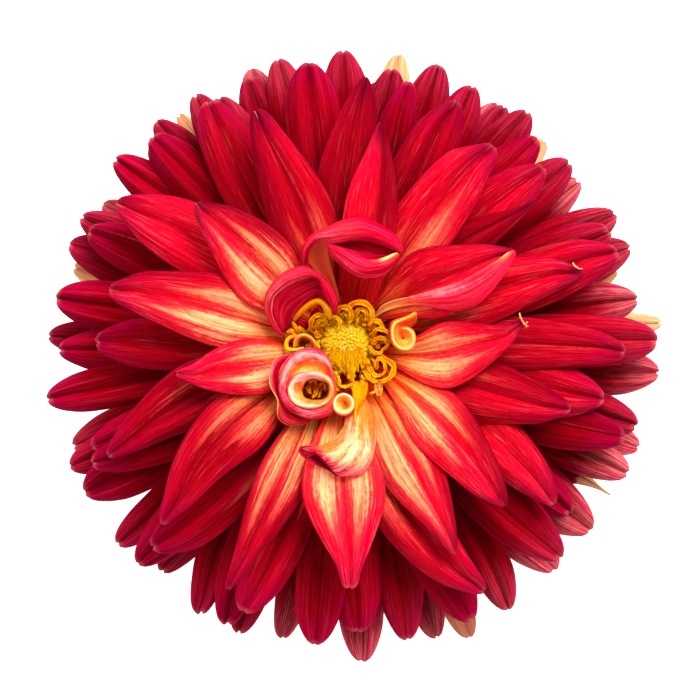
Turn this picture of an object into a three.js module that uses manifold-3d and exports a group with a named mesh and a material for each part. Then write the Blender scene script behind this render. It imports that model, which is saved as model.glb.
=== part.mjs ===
import * as THREE from 'three';
import { mergeVertices } from 'three/addons/utils/BufferGeometryUtils.js';
import Module from 'manifold-3d';

const wasm = await Module();
wasm.setup();

// A cut dahlia bloom, face up, resting on its back petals. Millimetres, +Z up.
// The origin is on the resting plane, at the middle of the bloom's plan.

// ---------------------------------------------------------- driving sizes

const AXIS_X = -2.41, AXIS_Y = 3.10;   // axis of the disc and the receptacle
const PETAL_THICKNESS = 0.8;
const GAP = 0.3;                        // clear space kept between pieces
const STACK_GAP = 0.35;                 // clear height kept between stacked petals
const REST_Z = 0;                       // the surface the bloom rests on
const INNER_STATIONS = [0, 0.16, 0.36, 0.58, 0.83, 1];   // along a petal
const OUTER_STATIONS = [0, 0.25, 0.56, 0.86, 1];

const DISC_RADIUS = 6.0, DISC_TOP = 32.4, DISC_BASE = 27.0;
const FLORET_RING_INNER = 6.4, FLORET_RING_OUTER = 10.2, FLORET_RING_TOP = 34.4;
const STEM_RADIUS = 3.7, STEM_END_Z = 1.2;
const CUP_RADIUS = 13.6, CUP_Z = 7.4;   // underside of the receptacle
const INNER_BRACTS = 8, INNER_BRACT_REACH = 23;
const GREEN_BRACTS = 6, GREEN_BRACT_REACH = 17;

// Petal layers, from the innermost and highest to the back of the bloom: where
// each leaves the receptacle, and how its bowl rises and where its tips lie.
const LAYERS = [1, 2, 3, 4, 5, 6, 7, 8, 9];
const BASE_R = [6.9, 7.4, 8.1, 8.9, 9.9, 11.0, 12.1, 13.3, 14.5];
const BASE_Z = [25.6, 24.2, 22.6, 20.7, 18.6, 16.3, 13.8, 11.2, 8.8];
const BASE_SLOPE = [1.1, 0.98, 0.84, 0.66, 0.48, 0.32, 0.16, 0.04, -0.06];
const TIP_R = [42, 50, 56, 60, 65, 70, 74, 77, 79];
const TIP_Z = [47.5, 44, 39.5, 34.5, 29, 22.5, 15.0, 7.6, 0.4];
const TIP_SLOPE = [0.12, 0.08, 0.04, 0.0, -0.05, -0.09, -0.12, -0.14, -0.12];

// Ray petals: node, layer, base x y, bend x y, tip x y, greatest width
const PETALS = [
  ['inner_petal_08', 2, -1.31, 9.94, 4.75, 33.16, 6.35, 56.8, 12.5],
  ['inner_petal_11', 2, -7.63, 7.65, -23.6, 22.32, -38.63, 37.61, 19],
  ['inner_petal_14', 2, -9.12, 1.41, -26.36, -3.14, -43.77, -5.19, 15.5],
  ['inner_petal_03', 2, 1.43, 8.87, 19.59, 18.91, 38.7, 26.19, 16],
  ['inner_petal_18', 2.2, -2.88, -3.96, -4.12, -30.48, -0.45, -56.5, 19.25],
  ['inner_petal_24', 2.4, 4.5, 0.97, 24.56, -2.21, 41.95, 7.72, 15.75],
  ['inner_petal_13', 2.6, -9.72, 4.29, -34.63, 11.86, -59.9, 17.46, 18],
  ['inner_petal_21', 2.6, 3.38, -1.5, 23.69, -15.72, 35.86, -36.87, 14.5],
  ['inner_petal_10', 3, -5, 10.39, -11.73, 36.72, -25.34, 59.94, 16],
  ['inner_petal_06', 3, 1.85, 9.55, 15.07, 32.72, 32.49, 52.62, 18],
  ['inner_petal_16', 3, -8.05, -2.17, -36.63, -14.08, -45.83, -41.56, 16],
  ['inner_petal_20', 3, 1.04, -3.8, 13.55, -25.54, 24.93, -47.67, 16.5],
  ['inner_petal_17', 3.2, -6.31, -3.74, -18.69, -30.46, -31.22, -56.98, 14.5],
  ['inner_petal_04', 3.3, 3.68, 8.24, 20.6, 28.25, 44.51, 37.06, 11.5],
  ['inner_petal_09', 3.5, -2.12, 11.23, -3.92, 40.3, 2.73, 68.38, 14.5],
  ['inner_petal_23', 3.6, 5.38, 0.55, 28.37, -8.64, 52.4, -13.54, 15.5],
  ['inner_petal_02', 3.8, 5.48, 5.88, 30.01, 15.77, 55.63, 21.7, 14.5],
  ['inner_petal_07', 4, 0.99, 10.93, 12.34, 37.08, 23.82, 63.14, 14.5],
  ['inner_petal_12', 4, -9.52, 7.82, -31.67, 27.52, -59.01, 37.4, 16.5],
  ['inner_petal_15', 4, -10.53, 0.49, -40.09, -4.58, -60.48, -24.84, 14.5],
  ['inner_petal_22', 4, 4.71, -1.58, 31.34, -13.54, 49.06, -35.87, 15.5],
  ['inner_petal_05', 4.3, 4.03, 9.14, 23.47, 29.83, 46.43, 46.29, 14],
  ['inner_petal_19', 4.3, 0.85, -5.09, 6.32, -37.94, 31.22, -58.5, 16],
  ['inner_petal_01', 4.4, 6.51, 3.07, 36.52, 4.46, 66.34, 1.62, 13.5],
  ['middle_petals_6', 4.8, 6.66, 0.95, 33.63, -5.49, 60.56, -11.9, 12],
  ['middle_petals_9', 5, -0.27, 12.4, 6.17, 40.24, 12.61, 68.1, 10],
  ['middle_petals_7', 5, 6.59, 6.24, 35.7, 15.75, 64.32, 26.74, 14],
  ['middle_petals_3', 5, -8.5, -4.23, -24.3, -31.18, -50.05, -47.74, 13.5],
  ['middle_petals_2', 5.3, -12.32, 3.06, -38.42, 1.32, -64.29, 4.34, 12.5],
  ['middle_petals_6', 5.3, 6.84, -0.39, 35.09, -15.96, 66.65, -19.59, 12.5],
  ['middle_petals_1', 5.5, -7.74, 11.75, -25.6, 35.66, -36.48, 63.34, 13.5],
  ['middle_petals_8', 5.5, 4.36, 10.66, 23.33, 33.54, 44.98, 53.96, 11.5],
  ['middle_petals_6', 5.5, 7.72, 3.25, 41.09, 3.66, 74.64, 4.09, 14.5],
  ['middle_petals_4', 5.5, -5.57, -6.52, -12.77, -36.41, -28.09, -63.06, 13],
  ['middle_petals_5', 5.5, 4.59, -4.21, 25.47, -29.3, 50.92, -49.74, 13.5],
  ['middle_petals_2', 5.6, -11.5, -1.66, -35.91, -20.35, -65.39, -26.04, 10],
  ['middle_petals_9', 6, -3.98, 13.75, -8.94, 43.14, -12.07, 72.9, 14.5],
  ['middle_petals_9', 6, -0.69, 13.72, 4.01, 42.52, 8.72, 71.41, 11],
  ['middle_petals_8', 6, 2.39, 12.73, 15.93, 39.79, 29.51, 66.97, 12],
  ['middle_petals_8', 6, 4.22, 11.56, 23.67, 35.89, 42.64, 60.79, 12.5],
  ['middle_petals_2', 6, -12.25, 7.46, -39.21, 19.36, -66.26, 31.32, 12.5],
  ['middle_petals_7', 6, 7.48, 7.3, 35.28, 19.03, 63.17, 30.83, 13],
  ['middle_petals_2', 6, -12.38, -0.91, -38.91, -11.64, -65.51, -22.38, 10],
  ['middle_petals_4', 6, -3.61, -7.56, -7.49, -39.35, -10.34, -71.41, 13],
  ['middle_petals_4', 6, 1.72, -6.8, 11.28, -38.05, 29.27, -65.22, 12.5],
  ['middle_petals_8', 6.3, 6.22, 10.11, 29.74, 29.12, 53.37, 48.24, 13],
  ['middle_petals_4', 6.3, -2.11, -7.99, -2.99, -38.37, 1.05, -68.54, 14.5],
  ['middle_petals_5', 6.3, 6.51, -3.49, 30.14, -20.98, 53.86, -38.54, 11.5],
  ['middle_petals_6', 6.3, 8.29, 0.15, 39.05, -8.39, 70, -16.98, 12.5],
  ['middle_petals_1', 6.5, -10.15, 11.44, -30.3, 33.15, -50.57, 54.99, 12.5],
  ['middle_petals_2', 6.6, -13.76, 4.87, -44.13, 9.56, -74.7, 14.29, 14],
  ['outer_petals_03', 7, -2.46, 15.08, -2.56, 45.7, -2.67, 76.57, 13],
  ['outer_petals_05', 7, -8.69, 13.31, -24.54, 39.11, -40.51, 65.11, 10.5],
  ['outer_petals_06', 7, -11.59, 10.8, -33.95, 32.4, -60.44, 48.93, 11.5],
  ['outer_petals_03', 7, -1.03, 15, 2.13, 41.84, 5.29, 68.81, 11],
  ['outer_petals_03', 7, 1.32, 14.48, 10.87, 43.42, 20.48, 72.58, 11],
  ['outer_petals_06', 7, -13.19, 8.32, -40.69, 21.6, -68.4, 34.99, 11.5],
  ['outer_petals_02', 7, 8.36, 8.31, 36.47, 21.84, 64.81, 35.49, 12],
  ['outer_petals_01', 7, 9.4, 4.98, 39.73, 9.75, 70.28, 14.57, 12],
  ['outer_petals_07', 7, -14.19, 0.96, -45.52, -4.79, -77.13, -10.58, 11.5],
  ['outer_petals_08', 7, -12.93, -2.59, -40.31, -17.49, -67.91, -32.49, 11],
  ['outer_petals_09', 7, -10.62, -5.59, -32.32, -28.66, -54.22, -51.92, 12],
  ['outer_petals_09', 7, -7.58, -7.67, -24.05, -35.58, -32.8, -66.86, 11.5],
  ['outer_petals_11', 7, 0.32, -8.53, 10.63, -38.85, 12.27, -70.84, 12],
  ['outer_petals_11', 7, 4.26, -6.8, 25.98, -32.2, 38.43, -63.14, 11.5],
  ['outer_petals_12', 7, 8.5, -1.76, 38.03, -14.96, 67.81, -28.26, 11],
  ['outer_petals_01', 7, 9.5, 2.17, 42.37, -0.46, 75.54, -3.11, 12],
  ['outer_petals_03', 7.3, 4.51, 13.32, 21.05, 37.67, 37.72, 62.22, 11],
  ['outer_petals_06', 7.3, -14.01, 7.35, -42.63, 17.78, -71.51, 28.31, 13.5],
  ['outer_petals_07', 7.3, -14.75, 2.82, -44.37, 2.1, -74.24, 1.38, 11.5],
  ['outer_petals_01', 7.5, 9.48, 7.17, 38.97, 17.21, 68.75, 27.35, 12.5],
  ['outer_petals_08', 7.6, -14.01, -2.08, -42.55, -14.91, -71.39, -27.86, 11.5],
  ['outer_petals_12', 7.6, 7.73, -4.5, 33.13, -23.58, 58.8, -42.86, 12],
  ['outer_petals_04', 8, -5.43, 15.96, -12.28, 45.18, -19.2, 74.74, 11],
  ['outer_petals_05', 8, -8.49, 14.83, -21.41, 39.77, -34.46, 64.95, 11.5],
  ['outer_petals_05', 8, -10.93, 13.2, -30.23, 36.08, -49.75, 59.21, 11],
  ['outer_petals_03', 8, 4.61, 14.28, 20.04, 38.74, 35.62, 63.46, 10.5],
  ['outer_petals_02', 8, 8.43, 10.61, 32.3, 27.06, 56.4, 43.68, 11.5],
  ['outer_petals_07', 8, -15.61, 3.39, -46.15, 4, -77.05, 4.63, 11],
  ['outer_petals_09', 8, -12.34, -5.58, -35.91, -26.27, -59.78, -47.22, 10.5],
  ['outer_petals_09', 8, -9.62, -7.93, -32.88, -32.18, -38.75, -64.75, 10],
  ['outer_petals_09', 8, -7.2, -9.17, -20, -38.54, -29.48, -69.52, 10.5],
  ['outer_petals_10', 8, -1.8, -10.05, -0.24, -43.08, 1.33, -76.55, 11],
  ['outer_petals_11', 8, 1.51, -9.46, 11.01, -39.8, 20.62, -70.52, 10.5],
  ['outer_petals_11', 8, 6.49, -6.6, 28.07, -30.15, 49.93, -53.99, 11],
  ['outer_petals_12', 8, 10.02, -1.24, 40.43, -11.89, 71.22, -22.67, 11],
  ['outer_petals_04', 8.3, -7.18, 15.82, -17.28, 42.79, -27.5, 70.08, 11.5],
  ['outer_petals_06', 8.3, -11.98, 12.73, -31.79, 32.64, -51.82, 52.77, 10.5],
  ['outer_petals_12', 8.4, 9.4, -3.75, 32.7, -17.29, 56.26, -30.98, 10.5],
  ['outer_petals_08', 8.8, -15.72, -1.77, -43.33, -11.95, -71.35, -22.27, 10.5],
  ['outer_petals_04', 9, -6.92, 16.82, -16.07, 44.64, -25.35, 72.88, 9.5],
  ['outer_petals_05', 9, -10.84, 14.83, -27.41, 37.89, -44.22, 61.29, 9.5],
  ['outer_petals_03', 9, 0.21, 17.3, 5.65, 46.51, 11.17, 76.16, 9],
  ['outer_petals_03', 9, 7.64, 13.44, 27.51, 33.82, 47.67, 54.49, 9.5],
  ['outer_petals_06', 9, -14.95, 10.26, -39.22, 24.09, -63.85, 38.12, 10.5],
  ['outer_petals_06', 9, -16.31, 6.99, -43.53, 14.57, -71.16, 22.27, 10.5],
  ['outer_petals_01', 9, 11.48, 6.91, 38.56, 14.28, 66.04, 21.76, 10.5],
  ['outer_petals_01', 9, 11.95, 4.13, 44.31, 6.38, 77.18, 8.68, 9],
  ['outer_petals_09', 9, -11.51, -8.07, -30.12, -31, -49.02, -54.28, 9.5],
  ['outer_petals_10', 9, -5.41, -10.97, -11.74, -40.84, -18.17, -71.16, 8.5],
  ['outer_petals_11', 9, 3.27, -10.11, 16.19, -40.16, 29.32, -70.69, 9.5],
  ['outer_petals_12', 9, 10.04, -4.12, 36.97, -19.76, 64.32, -35.65, 10],
];

// Curled petals around the disc: x, y, z, half width, lean in degrees
const CURLS = {
  hooked_petal_top: [
    [-6.36, 13.46, 26.6, 1.6, 0],
    [-8.31, 16.88, 30, 2.6, 10],
    [-9.75, 21.22, 35, 3, 20],
    [-10.7, 25.53, 40, 3.2, 38],
    [-8.72, 29.36, 43.5, 3.5, 52],
    [-4.34, 31.25, 45.5, 3.7, 52],
    [0.52, 31.47, 46.5, 3.8, 50],
    [5.37, 30.01, 46.5, 3.6, 52],
    [9.02, 27.12, 45.5, 3, 60],
    [10, 24.23, 44.2, 2.8, 80],
    [8.06, 22.06, 43.2, 3, 112],
    [3.69, 21.59, 42.2, 3.2, 124],
    [-0.94, 23.31, 41.6, 2.7, 124],
    [-4.35, 25.51, 41.2, 1.8, 120],
    [-6.79, 27.22, 41, 0.5, 118],
  ],
  hooded_petal_left: [
    [-13.51, 6.06, 26.6, 1.6, 0],
    [-16.2, 5.56, 29, 2.6, 16],
    [-18.85, 8, 33, 3.7, 34],
    [-19.51, 12.14, 37.5, 4, 44],
    [-17.27, 16, 41.2, 3.9, 46],
    [-13.59, 18.42, 43, 3.6, 46],
    [-9.7, 17.93, 43, 3, 46],
    [-6.79, 15.51, 41.5, 2.6, 46],
    [-5.57, 12.37, 39.2, 2, 46],
    [-6.07, 9.45, 36.6, 0.6, 46],
  ],
  scrolled_petal: [
    [-1.92, -14.07, 33.5, 2.6, 84],
    [-6.33, -15.28, 34.5, 4.2, 80],
    [-10.97, -15.03, 35.5, 5, 78],
    [-14.64, -12.81, 36.5, 5.6, 78],
    [-16.58, -9.38, 37.5, 6, 78],
    [-17.06, -5.22, 38, 6.2, 78],
    [-15.35, -1.31, 38.6, 6, 80],
    [-11.68, 1.38, 39.2, 5.6, 82],
    [-8.01, 0.65, 39.8, 4.6, 84],
    [-5.81, -1.79, 40.4, 3.6, 86],
    [-5.57, -3.98, 41, 3, 86],
  ],
  scrolled_tube: [
    [-5.57, -3.49, 41.2, 2.8, 86],
    [-7.27, -5.2, 41, 3.4, 90],
    [-10.2, -4.23, 40.6, 4.4, 96],
    [-13.63, -5.21, 39.6, 5.2, 100],
    [-15.34, -8.14, 39, 5.6, 100],
    [-13.88, -11.07, 38.8, 5.6, 100],
    [-10.7, -12.29, 38.8, 5.6, 100],
    [-7.53, -11.07, 38.8, 5.4, 100],
    [-6.06, -8.14, 38.8, 5, 100],
  ],
  scrolled_claw: [
    [-8.33, -0.35, 26.3, 1.4, 0],
    [-9.8, -2.81, 28.3, 2.2, 0],
    [-11.5, -5.75, 31, 3.4, 0],
    [-12.46, -8.18, 34.2, 4.6, 0],
    [-12.93, -10.12, 36, 4.6, 0],
  ],
  outer_flap: [
    [-10.5, -15.3, 33.2, 2.2, 66],
    [-13.68, -15.78, 34, 2.6, 66],
    [-16.85, -15.03, 35.4, 3, 66],
    [-19.03, -12.31, 37, 3.4, 70],
    [-20.22, -9.12, 39, 3.4, 74],
    [-20.45, -5.45, 40, 3, 76],
    [-18.74, -1.79, 40.4, 2.2, 80],
    [-16.06, 0.41, 40.4, 1.2, 84],
  ],
  rolled_claw_right: [
    [5.24, 4.59, 26.4, 1.4, 0],
    [7.93, 4.58, 29, 2.2, 0],
    [10.6, 4.08, 32.4, 3, 0],
    [12.3, 3.83, 34.2, 3.2, 0],
  ],
  rolled_claw_left: [
    [-9.82, 3.11, 26, 1.4, 0],
    [-11.28, 3.1, 28.2, 1.8, 0],
    [-12.73, 3.35, 31, 2.2, 0],
    [-13.7, 3.34, 32, 2.2, 0],
  ],
  tube_claw: [
    [-2.66, -5.04, 26.3, 1.4, 0],
    [-2.78, -7.73, 28.6, 1.8, 0],
    [-2.9, -10.17, 31.4, 2.2, 0],
    [-3.02, -12.11, 33.2, 2.2, 0],
  ],
  folded_petal_bottom: [
    [-1.67, -10.7, 27, 2.2, 0],
    [-0.93, -14.08, 33, 3.8, 4],
    [-0.69, -17.92, 38.5, 5, 8],
    [-0.94, -21.75, 42.5, 5.2, 14],
    [-2.88, -24.38, 44.5, 4.2, 30],
    [-6.28, -24.86, 45, 3, 44],
    [-9.93, -23.89, 44.6, 1.9, 50],
    [-13.34, -22.69, 44, 0.5, 50],
  ],
  rolled_petal_right: [
    [15.44, 11.16, 37.5, 0.8, 60],
    [13, 10.43, 37, 2, 80],
    [10.32, 8.96, 36.6, 3.2, 84],
    [8.61, 6.27, 36.2, 3.8, 84],
    [8.61, 3.34, 36.2, 3.8, 84],
    [10.57, 1.38, 36.2, 3.8, 84],
    [13.01, 1.87, 36.2, 3.8, 84],
    [14.24, 4.07, 36.2, 3.7, 84],
    [13.01, 6.27, 36.4, 3.4, 84],
    [11.05, 6.03, 36.8, 2.4, 84],
  ],
  rolled_petal_left: [
    [-9.29, 1.13, 31.5, 2, 84],
    [-11.74, 0.64, 32, 2.4, 84],
    [-14.44, 1.62, 32.4, 2.6, 84],
    [-15.42, 3.59, 32.6, 2.6, 84],
    [-14.19, 5.55, 32.6, 2.6, 84],
    [-11.74, 5.8, 32.4, 2.4, 84],
    [-10.26, 4.57, 32.2, 2, 84],
  ],
};
const TUBE = { x: -3.01, y: -11.45, outer: 2.5, wall: 0.8, low: 31.5, high: 42.5 };

// ---------------------------------------------------------------- helpers

const lerp = (a, b, t) => a + (b - a) * t;

function table(xs, ys, x) {
  if (x <= xs[0]) return ys[0];
  for (let i = 1; i < xs.length; i++) {
    if (x <= xs[i]) return lerp(ys[i - 1], ys[i], (x - xs[i - 1]) / (xs[i] - xs[i - 1]));
  }
  return ys[ys.length - 1];
}

// Height of the bowl that the petals of one layer lie in, at radius r from the
// axis of the bloom. The bowls of the layers nest inside each other.
function bowl(layer, r) {
  const rb = table(LAYERS, BASE_R, layer), zb = table(LAYERS, BASE_Z, layer);
  const s0 = table(LAYERS, BASE_SLOPE, layer), rt = table(LAYERS, TIP_R, layer);
  const zt = table(LAYERS, TIP_Z, layer), s1 = table(LAYERS, TIP_SLOPE, layer);
  if (r >= rt) return zt + (r - rt) * s1;
  const h = rt - rb, u = (r - rb) / h;
  if (u < 0) return zb + (r - rb) * s0;
  return (2 * u ** 3 - 3 * u ** 2 + 1) * zb + (u ** 3 - 2 * u ** 2 + u) * h * s0
    + (-2 * u ** 3 + 3 * u ** 2) * zt + (u ** 3 - u ** 2) * h * s1;
}

// Width of a petal along its length, as a share of its greatest width.
function widthShare(s, layer) {
  const inner = Math.min(Math.max((5 - layer) / 2, 0), 1);
  const widest = lerp(0.60, 0.50, inner), claw = lerp(0.20, 0.18, inner);
  const a = Math.min(s / widest, 1), g = claw + (1 - claw) * a * a * (3 - 2 * a);
  const b = Math.max((s - widest) / (1 - widest), 0);
  return g * Math.pow(Math.max(1 - Math.pow(b, lerp(2.6, 2.0, inner)), 0), lerp(0.60, 0.80, inner));
}

function closedSlab(top, bottom) {
  // top and bottom are grids of points of one size; the slab between them is closed
  const nu = top.length, nv = top[0].length, pos = [], idx = [];
  for (const g of [top, bottom]) for (const row of g) for (const p of row) pos.push(p.x, p.y, p.z);
  const T = (i, j) => i * nv + j, B = (i, j) => nu * nv + i * nv + j;
  for (let i = 0; i < nu - 1; i++) for (let j = 0; j < nv - 1; j++) {
    idx.push(T(i, j), T(i + 1, j), T(i + 1, j + 1), T(i, j), T(i + 1, j + 1), T(i, j + 1));
    idx.push(B(i, j), B(i + 1, j + 1), B(i + 1, j), B(i, j), B(i, j + 1), B(i + 1, j + 1));
  }
  const wall = (a, b, c, d) => idx.push(a, b, c, a, c, d);
  for (let i = 0; i < nu - 1; i++) {
    wall(T(i, 0), B(i, 0), B(i + 1, 0), T(i + 1, 0));
    wall(T(i + 1, nv - 1), B(i + 1, nv - 1), B(i, nv - 1), T(i, nv - 1));
  }
  for (let j = 0; j < nv - 1; j++) {
    wall(T(0, j + 1), B(0, j + 1), B(0, j), T(0, j));
    wall(T(nu - 1, j), B(nu - 1, j), B(nu - 1, j + 1), T(nu - 1, j + 1));
  }
  const geometry = new THREE.BufferGeometry();
  geometry.setAttribute('position', new THREE.BufferAttribute(new Float32Array(pos), 3));
  geometry.setIndex(idx);
  return geometry;
}

function signedVolume(geometry) {
  const p = geometry.getAttribute('position'), n = geometry.index, a = new THREE.Vector3(),
    b = new THREE.Vector3(), c = new THREE.Vector3();
  let v = 0;
  for (let i = 0; i < n.count; i += 3) {
    a.fromBufferAttribute(p, n.getX(i)); b.fromBufferAttribute(p, n.getX(i + 1));
    c.fromBufferAttribute(p, n.getX(i + 2));
    v += a.dot(b.cross(c)) / 6;
  }
  return v;
}

function solid(geometry) {
  const bare = geometry.clone();
  for (const name of Object.keys(bare.attributes)) if (name !== 'position') bare.deleteAttribute(name);
  const g = mergeVertices(bare, 1e-4), idx = Array.from(g.index.array);
  if (signedVolume(g) < 0) for (let i = 0; i < idx.length; i += 3) [idx[i + 1], idx[i + 2]] = [idx[i + 2], idx[i + 1]];
  const keep = [];
  for (let i = 0; i < idx.length; i += 3) {
    if (idx[i] !== idx[i + 1] && idx[i + 1] !== idx[i + 2] && idx[i] !== idx[i + 2]) keep.push(idx[i], idx[i + 1], idx[i + 2]);
  }
  return new wasm.Manifold(new wasm.Mesh({
    numProp: 3,
    vertProperties: new Float32Array(g.getAttribute('position').array),
    triVerts: new Uint32Array(keep),
  }));
}

function largest(m) {
  const parts = m.decompose();
  parts.sort((a, b) => b.volume() - a.volume());
  return parts[0];
}

function boxesMeet(a, b) {
  const p = a.boundingBox(), q = b.boundingBox();
  for (let k = 0; k < 3; k++) if (p.min[k] > q.max[k] || q.min[k] > p.max[k]) return false;
  return true;
}

// --------------------------------------------------------------- ceiling
// Lowest underside of everything placed so far, over the plan of the bloom.
// Each petal that goes in below is pressed down clear of it.

const CELL = 0.9, HALF = 90, SIDE = Math.round(2 * HALF / CELL);
const ceiling = new Float32Array(SIDE * SIDE).fill(1e3);
const cellOf = v => Math.min(Math.max(Math.floor((v + HALF) / CELL), 0), SIDE - 1);
function ceilingAt(x, y) {
  const cx = cellOf(x), cy = cellOf(y);
  return ceiling[cx * SIDE + cy];
}
function lowerCeiling(x, y, z) {
  const k = cellOf(x) * SIDE + cellOf(y);
  if (z < ceiling[k]) ceiling[k] = z;
}

const SUB = 14;
function overGrid(grid, visit) {
  for (let i = 0; i < grid.length - 1; i++) for (let j = 0; j < grid[0].length - 1; j++) {
    const a = grid[i][j], b = grid[i + 1][j], c = grid[i][j + 1], d = grid[i + 1][j + 1];
    for (let m = 0; m <= SUB; m++) for (let n = 0; n <= SUB; n++) {
      const u = m / SUB, v = n / SUB;
      visit(i, j,
        lerp(lerp(a.x, b.x, u), lerp(c.x, d.x, u), v),
        lerp(lerp(a.y, b.y, u), lerp(c.y, d.y, u), v),
        lerp(lerp(a.z, b.z, u), lerp(c.z, d.z, u), v));
    }
  }
}

// ------------------------------------------------------------ ray petals

function petalGrid([, layer, bx, by, cx, cy, tx, ty, width]) {
  const grid = [], half = width / 2;
  const cup = half * table([1, 4, 6, 9], [0.42, 0.34, 0.22, 0.14], layer);
  const stations = layer < 4.5 ? INNER_STATIONS : OUTER_STATIONS;
  for (let i = 0; i < stations.length; i++) {
    const s = stations[i], q = 1 - s;
    const x = q * q * bx + 2 * q * s * cx + s * s * tx, y = q * q * by + 2 * q * s * cy + s * s * ty;
    let dx = 2 * q * (cx - bx) + 2 * s * (tx - cx), dy = 2 * q * (cy - by) + 2 * s * (ty - cy);
    const d = Math.hypot(dx, dy); dx /= d; dy /= d;
    const z = bowl(layer, Math.hypot(x - AXIS_X, y - AXIS_Y));
    const w = Math.max(half * widthShare(s, layer), 0.45), rise = cup * Math.sin(Math.PI * Math.min(s / 0.95, 1) * 0.5 + 0.2) * (1 - 0.55 * s * s) * (w / half);
    const row = [];
    for (let j = -1; j <= 1; j++) row.push(new THREE.Vector3(x - dy * w * j, y + dx * w * j, z + (Math.abs(j) * 1.2 - 0.6) * rise));
    grid.push(row);
  }
  return grid;
}

function pressUnder(grid, layer = 0) {
  const nu = grid.length, nv = grid[0].length, low = [];
  for (let i = 0; i < nu - 1; i++) low.push(new Array(nv - 1).fill(0));
  overGrid(grid, (i, j, x, y, z) => {
    const over = z + PETAL_THICKNESS / 2 + STACK_GAP - ceilingAt(x, y);
    if (over > low[i][j]) low[i][j] = over;
  });
  for (let i = 0; i < nu; i++) for (let j = 0; j < nv; j++) {
    let drop = 0;
    for (const a of [i - 1, i]) for (const b of [j - 1, j]) if (low[a]?.[b] > drop) drop = low[a][b];
    grid[i][j].z -= drop;
    const floor = REST_Z + PETAL_THICKNESS / 2;
    if (grid[i][j].z < floor) grid[i][j].z = floor;
  }
  if (layer > 8.7) {
    // the backmost petals lie on the resting plane at their tips
    for (let i = nu - 2; i < nu; i++) for (const p of grid[i]) p.z = REST_Z + PETAL_THICKNESS / 2;
  }
  overGrid(grid, (i, j, x, y, z) => lowerCeiling(x, y, z - PETAL_THICKNESS / 2));
  return grid;
}

function petalSolid(grid, grow) {
  const t = PETAL_THICKNESS / 2 + grow, n = grid.length - 1;
  const top = [], bottom = [];
  grid.forEach((row, i) => {
    const mid = row[1], a = [], b = [];
    const along = i === 0 ? grid[0][1].clone().sub(grid[1][1]) : i === n ? grid[n][1].clone().sub(grid[n - 1][1]) : new THREE.Vector3();
    if (along.lengthSq() > 0) along.normalize().multiplyScalar(grow);
    row.forEach((p, j) => {
      const q = p.clone().add(along), side = p.clone().sub(mid);
      if (grow > 0 && side.lengthSq() > 0) q.add(side.normalize().multiplyScalar(grow));
      a.push(q.clone().add(new THREE.Vector3(0, 0, t)));
      b.push(q.clone().add(new THREE.Vector3(0, 0, -t)));
    });
    top.push(a); bottom.push(b);
  });
  return solid(closedSlab(top, bottom));
}

// ------------------------------------------------- curled petals and tubes

function ribbon(stations, steps, grow = 0) {
  // stations: x, y, z, half width, lean of the width from level in degrees
  const curve = new THREE.CatmullRomCurve3(stations.map(s => new THREE.Vector3(s[0], s[1], s[2])), false, 'centripetal');
  const top = [], bottom = [], n = stations.length - 1, up = new THREE.Vector3(0, 0, 1);
  for (let i = 0; i <= steps; i++) {
    const u = i / steps, k = Math.min(Math.floor(u * n), n - 1), f = u * n - k;
    const p = curve.getPoint(u), t = curve.getTangent(u);
    const half = lerp(stations[k][3], stations[k + 1][3], f) + grow, lean = THREE.MathUtils.degToRad(lerp(stations[k][4], stations[k + 1][4], f));
    const side = new THREE.Vector3(t.y, -t.x, 0).normalize();
    const across = side.clone().multiplyScalar(-Math.cos(lean)).addScaledVector(up, Math.sin(lean));
    const normal = t.clone().cross(across).normalize();
    if (i === 0) p.addScaledVector(t, -grow);
    if (i === steps) p.addScaledVector(t, grow);
    const a = [], b = [];
    for (let j = -1; j <= 1; j++) {
      const q = p.clone().addScaledVector(across, half * j);
      a.push(q.clone().addScaledVector(normal, PETAL_THICKNESS / 2 + grow));
      b.push(q.clone().addScaledVector(normal, -PETAL_THICKNESS / 2 - grow));
    }
    top.push(a); bottom.push(b);
  }
  return solid(closedSlab(top, bottom));
}

function lathe(profile, segments, start = 0, length = Math.PI * 2) {
  const g = new THREE.LatheGeometry(profile.map(p => new THREE.Vector2(p[0], p[1])), segments, start, length);
  g.rotateX(Math.PI / 2);
  g.translate(AXIS_X, AXIS_Y, 0);
  return g;
}

const receptacleRadius = z => table([...BASE_Z].reverse(), [...BASE_R].reverse(), z) - 0.5;

// --------------------------------------------------------------- assembly

const bloom = new THREE.Group();
bloom.name = 'dahlia_bloom';
const placed = [];

const finish = {
  crimson: { color: 0xa80a24, roughness: 0.55, metalness: 0 },
  bright: { color: 0xe0203a, roughness: 0.5, metalness: 0 },
  pale: { color: 0xd8707a, roughness: 0.6, metalness: 0 },
  amber: { color: 0xf0a818, roughness: 0.5, metalness: 0 },
  olive: { color: 0xb4a21c, roughness: 0.6, metalness: 0 },
  green: { color: 0x6b8a3a, roughness: 0.65, metalness: 0 },
  cream: { color: 0xd8cf9a, roughness: 0.6, metalness: 0 },
};

function place(name, parts, grown, look) {
  let m = wasm.Manifold.union(parts);
  for (const other of placed) if (boxesMeet(m, other.grown)) m = m.subtract(other.grown);
  m = largest(m.simplify(0.04));
  placed.push({ name, solid: m, grown: wasm.Manifold.union(grown), look });
}

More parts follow.
